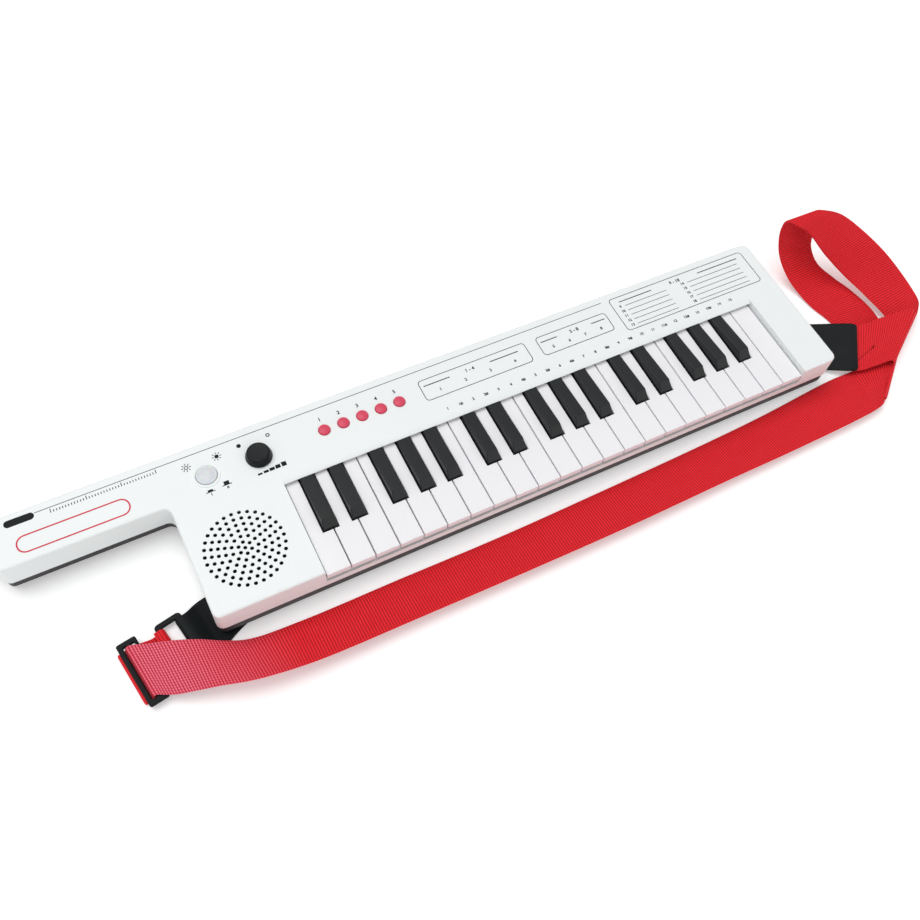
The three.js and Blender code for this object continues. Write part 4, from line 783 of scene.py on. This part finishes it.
def band(name, stations, thickness, steps, unit):
    """A closed band through the stations, with a UV map that counts in units of its width."""
    rows = [[at(*station[i:i + 3]) for station in stations] for i in (0, 3)]
    count = (len(stations) - 1) * steps
    edges = [[curve_point(row, i / steps) for i in range(count + 1)] for row in rows]
    loop = [(u, h) for u, h in SECTION] + [(u, -h) for u, h in reversed(SECTION[1:-1])]
    vertices, lengths = [], [0.0]
    for i in range(count + 1):
        a, b = edges[0][i], edges[1][i]
        low, high = max(i - 1, 0), min(i + 1, count)
        across = b - a
        ups = [(edge[high] - edge[low]).cross(across).normalized() * thickness / 2 * MM for edge in edges]
        for u, h in loop:
            vertices.append(a.lerp(b, u) + ups[0].lerp(ups[1], u) * h)
        if i:
            lengths.append(lengths[-1] + ((a + b) / 2 - (edges[0][i - 1] + edges[1][i - 1]) / 2).length)
    size = len(loop)
    faces = [(i * size + j, (i + 1) * size + j, (i + 1) * size + (j + 1) % size, i * size + (j + 1) % size)
             for i in range(count) for j in range(size)]
    faces += [tuple(range(size)), tuple(range(count * size, (count + 1) * size))[::-1]]
    mesh = bpy.data.meshes.new(name)
    mesh.from_pydata([tuple(v) for v in vertices], [], faces)
    layer = mesh.uv_layers.new(name="along_and_across")
    for face in mesh.polygons:
        for corner in face.loop_indices:
            row, column = divmod(mesh.loops[corner].vertex_index, size)
            layer.data[corner].uv = (loop[column][0], lengths[row] / (unit * MM))
    piece = bpy.data.objects.new(name, mesh)
    bpy.context.scene.collection.objects.link(piece)
    only(piece)
    bpy.ops.object.mode_set(mode="EDIT")
    bpy.ops.mesh.select_all(action="SELECT")
    bpy.ops.mesh.normals_make_consistent(inside=False)
    bpy.ops.object.mode_set(mode="OBJECT")
    area = sum((edges[0][i + 1] - edges[0][i] + edges[1][i + 1] - edges[1][i]).length / 2
               * (edges[1][i] - edges[0][i]).length for i in range(count))
    return piece, area


WEBBING_THICKNESS = 1.4
webbing, webbing_area = band("webbing_strap", STATIONS, WEBBING_THICKNESS, 8, WEBBING_WIDTH)
shade(webbing, 50)
hand_over(webbing, webbing_red, "case", "webbing", "strap_webbing")

# %% A pulled thread with its knot, beside the right tab
THREAD = [(488.9, 1.1, 9.1), (494.5, 2.8, 10.1), (499.7, 4.2, 11.0), (505.8, 5.3, 11.9), (510.1, 6.7, 12.6)]
thread_edges = [(x - 0.08, y + 0.3, z, x + 0.08, y - 0.3, z) for x, y, z in THREAD]
thread = band("pulled_thread", thread_edges, 0.5, 6, 20.0)[0]
bpy.ops.object.select_all(action="DESELECT")
bpy.ops.mesh.primitive_uv_sphere_add(segments=16, ring_count=8, radius=1.0 * MM, location=at(507.6, 5.8, 12.2))
knot = bpy.context.object
knot.scale = (1.9, 0.9, 0.6)
knot.rotation_euler = (0.0, -0.25, 0.55)
join(thread, [knot])
shade(thread, 60)
hand_over(thread, thread_red, "case", "webbing")
print("thread faces", len(thread.data.polygons))

# %% Moulded tabs
RIGHT_TAB = [
    (444.6, 75.91, 0.95, 417.39, 39.1, 0.95),
    (456, 67.51, 1.01, 430.01, 29.51, 0.95),
    (468.01, 58.99, 1.41, 442, 20.5, 0.95),
    (480, 51, 4.6, 452.5, 12.5, 1.2),
    (491.49, 42.5, 9.5, 463.5, 5.4, 3.59),
    (503.01, 33.99, 14, 476.41, -4.41, 8),
    (505.7, 31.5, 14.71, 480, -6.19, 8.61),
    (506.01, 28.5, 14.99, 483.21, -6, 9.01),
]
LEFT_TAB = [
    (-50.01, 33, 0.95, -46, 6, 0.95),
    (-66.01, 35, 0.95, -62, 1.69, 0.95),
    (-82, 33.19, 0.95, -74.99, -4.6, 0.95),
    (-90, 31.1, 1.04, -84.49, -10.51, 1.04),
    (-97.0, 27.6, 1.2, -89.39, -14.92, 1.2),
    (-101.46, 24.47, 1.44, -93.1, -16.7, 1.44),
    (-104.01, 23.96, 1.6, -95.67, -17.21, 1.6),
    (-105.22, 23.71, 2.64, -96.88, -17.46, 2.64),
    (-105.62, 23.62, 4.45, -97.28, -17.54, 4.45),
    (-105.22, 23.71, 6.25, -96.88, -17.46, 6.25),
    (-104.01, 23.96, 7.3, -95.67, -17.21, 7.3),
    (-101.46, 24.47, 7.45, -93.1, -16.7, 7.45),
    (-98.51, 25.06, 6.86, -90.17, -16.09, 6.86),
    (-94.2, 27.4, 5, -86.45, -14.33, 5),
    (-90.3, 28.9, 3.5, -82.52, -13.53, 3.5),
    (-86.3, 29.8, 2.85, -78.6, -12.73, 2.85),
]
TAB_THICKNESS = 1.5
TAB_PIN = [(2.6, 0.25), (2.9, 0.6), (2.9, 0.9), (1.5, 0.95), (1.5, 7.8), (1.3, 8.0)]
for side, stations, (x, y) in (("right", RIGHT_TAB, (437.0, 53.2)), ("left", LEFT_TAB, (-59.85, 15.2))):
    tab = band(f"tab_{side}", stations, TAB_THICKNESS, 6, 20.0)[0]
    join(tab, [raise_rings("pin", x, y, TAB_PIN, 24)])
    shade(tab, 40)
    hand_over(tab, strap_black, "case", "strap_plastic", f"strap_tab_{side}")
print("tabs 2")

# %% Ring and slider
for node, name in (("strap_ring", "ring_frame"), ("strap_slider", "slider_frame")):
    frame_piece = copy_of(node, name)
    shade(frame_piece, 50)
    hand_over(frame_piece, strap_black, "case", "strap_plastic", node)
print("ring and slider")

# %% [markdown]
# ## Printing on the panel
# The panel is screen printed in black: a thin line along the rear edge, framed fields, figures above the keys, and
# small signs round the knob and the power button. Words aren't printed here. Their places hold plain figures,
# rules and ticks of the same size. A printed image could do it, but thin raised shapes stay sharp at any distance.

# %% Printing helpers
INK = 0.06
INK_BASE = PANEL - 0.01
BOLD = 0.13
prints = []


def printed_field(x, y, corner=0.0, line=None, turned_by=0.0):
    """A flat printed box over the ranges x and y, filled, or as a frame with a line width."""
    bpy.ops.object.select_all(action="DESELECT")
    bpy.ops.mesh.primitive_plane_add(size=1.0, location=at(sum(x) / 2, sum(y) / 2, INK_BASE))
    piece = bpy.context.object
    piece.scale = ((x[1] - x[0]) * MM, (y[1] - y[0]) * MM, 1.0)
    bpy.ops.object.transform_apply(location=False, rotation=False, scale=True)
    piece.rotation_euler.z = turned_by
    bpy.ops.object.mode_set(mode="EDIT")
    bpy.context.tool_settings.mesh_select_mode = (False, False, True)
    bpy.ops.mesh.select_all(action="SELECT")
    if corner:
        bpy.ops.mesh.bevel(offset=corner * MM, segments=6, affect="VERTICES")
        bpy.ops.mesh.select_all(action="SELECT")
    if line:
        bpy.ops.mesh.inset(thickness=line * MM)
        bpy.ops.mesh.delete(type="FACE")
        bpy.ops.mesh.select_all(action="SELECT")
    bpy.ops.mesh.extrude_region_move(TRANSFORM_OT_translate={"value": (0.0, 0.0, INK * MM)})
    bpy.ops.mesh.select_all(action="SELECT")
    bpy.ops.mesh.normals_make_consistent(inside=False)
    bpy.ops.object.mode_set(mode="OBJECT")
    prints.append(piece)
    return piece


def printed_dot(x, y, radius):
    """A flat printed disc."""
    prints.append(raise_rings("print", x, y, [(radius, INK_BASE), (radius, INK_BASE + INK)], 20))


def printed_figure(text, x, y, height):
    """A printed number, centred on x, y, with figures of the given height."""
    bpy.ops.object.select_all(action="DESELECT")
    bpy.ops.object.text_add(location=at(x, y, INK_BASE + INK / 2))
    piece = bpy.context.object
    piece.data.body = text
    piece.data.align_x = "CENTER"
    piece.data.align_y = "CENTER"
    piece.data.size = height / 0.7 * MM
    piece.data.extrude = INK / 2 * MM
    piece.data.offset = BOLD * MM
    piece.data.resolution_u = 3
    bpy.ops.object.convert(target="MESH")
    prints.append(bpy.context.object)


def join_prints(name, ink, slot):
    """Makes one piece of all that was printed since the last time."""
    piece = prints[0]
    join(piece, prints[1:])
    piece.name = name
    prints.clear()
    return hand_over(piece, ink, "case", slot)


print("ink", INK, "mm thick")

# %% Lines, framed fields and figures
FRAMES = [((125.5, 220.3), (98.4, 118.0)), ((230.5, 297.0), (98.9, 117.7)), ((306.0, 441.0), (93.0, 127.3))]
HEADINGS = [("1 - 4", 169.0, 112.0, (128.7, 151.3), (187.0, 212.4)),
            ("5 - 8", 264.7, 112.0, (233.4, 248.5), (281.0, 293.8)),
            ("9 - 18", 369.5, 122.0, (314.0, 346.0), (393.0, 434.0))]
printed_field((-166.6, 299.2), (126.85, 127.35))
for x, y in FRAMES:
    printed_field(x, y, corner=3.2, line=0.55)
for figures, middle, y, left_rule, right_rule in HEADINGS:
    printed_field(left_rule, (y - 0.4, y + 0.4))
    printed_field(right_rule, (y - 0.4, y + 0.4))
    printed_figure(figures, middle, y, 3.0)
for i in range(4):
    printed_figure(f"{i + 1}", 140.0 + 22.0 * i, 104.6, 2.6)
    printed_figure(f"{i + 5}", 241.5 + 15.0 * i, 104.6, 2.6)
for i in range(5):
    row = 117.2 - 5.0 * i
    printed_figure(f"{i + 9}", 312.8, row, 2.4)
    printed_field((317.0, 358.0), (row - 0.5, row - 0.05))
    printed_figure(f"{i + 14}", 374.5, row, 2.4)
    printed_field((379.5, 431.0), (row - 0.5, row - 0.05))
key_figures = []
for white in range(1, 16):
    key_figures.append(f"{white}")
    if (white - 1) % 7 not in (2, 6) and white < 15:
        key_figures.append(f"{white}#")
for i, figure in enumerate(key_figures):
    printed_figure(figure, 137.0 + 11.08 * i, 86.2, 2.3)
for i in range(5):
    printed_figure(f"{i + 1}", FIRST_BUTTON + BUTTON_PITCH * i, 117.0, 3.0)
print("figures over the keys", len(key_figures), "prints so far", len(prints))

# %% Volume signs round the knob: rising bars, a dot for low and a ring for high
BARS = [(-14.8, -11.3, 1.5), (-10.2, -6.4, 2.0), (-5.7, -1.7, 2.5), (-1.0, 2.8, 3.1), (3.8, 7.5, 3.7)]
BAR_FOOT = 90.8
for left, right, height in BARS:
    printed_field((left, right), (BAR_FOOT, BAR_FOOT + height))
printed_dot(-19.0, 120.1, 1.7)
printed_field((2.1, 5.3), (118.7, 121.9), corner=1.59, line=0.75)
print("bars", len(BARS))

# %% Power signs: an open and a filled sun, and a cap shown up and down
OPEN_SUN, FILLED_SUN = (-59.7, 118.2), (-36.6, 118.3)
RAYS, RAY_REACH = 8, 2.9
printed_field((OPEN_SUN[0] - 1.6, OPEN_SUN[0] + 1.6), (OPEN_SUN[1] - 1.6, OPEN_SUN[1] + 1.6), corner=1.55, line=0.6)
printed_dot(*FILLED_SUN, 1.6)
for middle in (OPEN_SUN, FILLED_SUN):
    for ray_number in range(RAYS):
        angle = 2 * math.pi / RAYS * ray_number
        x, y = middle[0] + RAY_REACH * math.cos(angle), middle[1] + RAY_REACH * math.sin(angle)
        printed_field((x - 0.75, x + 0.75), (y - 0.28, y + 0.28), turned_by=angle)
for x, y in (((-53.6, -46.8), (92.1, 92.8)), ((-52.1, -48.3), (92.8, 94.3)),
             ((-41.2, -34.0), (92.9, 93.6)), ((-39.6, -35.6), (93.6, 96.4))):
    printed_field(x, y)
printed_figure("1", -50.2, 90.2, 2.0)
printed_figure("0", -37.6, 90.9, 2.0)
print("suns 2, caps 2")

# %% Scale and slot on the neck
TICKS, TICK_PITCH = 37, 2.1
FIRST_TICK = (-156.0, 122.6)
for tick in range(TICKS):
    tall = 3.2 if tick % 12 == 0 else 1.9
    x = FIRST_TICK[0] + TICK_PITCH * tick
    printed_field((x - 0.3, x + 0.3), (FIRST_TICK[1], FIRST_TICK[1] + tall))
printed_field((-188.0, -167.0), (123.0, 128.7), corner=2.8)
black_print = join_prints("panel_printing_black", ink_black, "black_plastic")
print("black printing faces", len(black_print.data.polygons))

# %% The bare name field, with its red frame
printed_field((-184.3, -104.6), (99.5, 113.5), corner=6.6, line=1.1)
red_print = join_prints("name_field_frame", ink_red, "red_plastic")
print("red printing faces", len(red_print.data.polygons))

# %% [markdown]
# ## Inner parts that stay as solids
# The boards, the hinge rail, the contact strip and the two sockets are plain shapes in real life too, so their
# solids stay and only get their finishes. Anything seen through the gaps between the keys is dark or green, as in
# a real keyboard.

# %% Finishes for the solids that stay
KEPT = {"control_board": board_green, "main_board": board_green, "contact_board": board_green,
        "key_hinge_rail": case_black, "rubber_contact_strip": silicone, "usb_socket": plated_steel,
        "audio_socket": knob_black}
for node, finish in KEPT.items():
    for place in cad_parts[node].material_slots:
        place.material = finish
print("solids kept", len(KEPT))
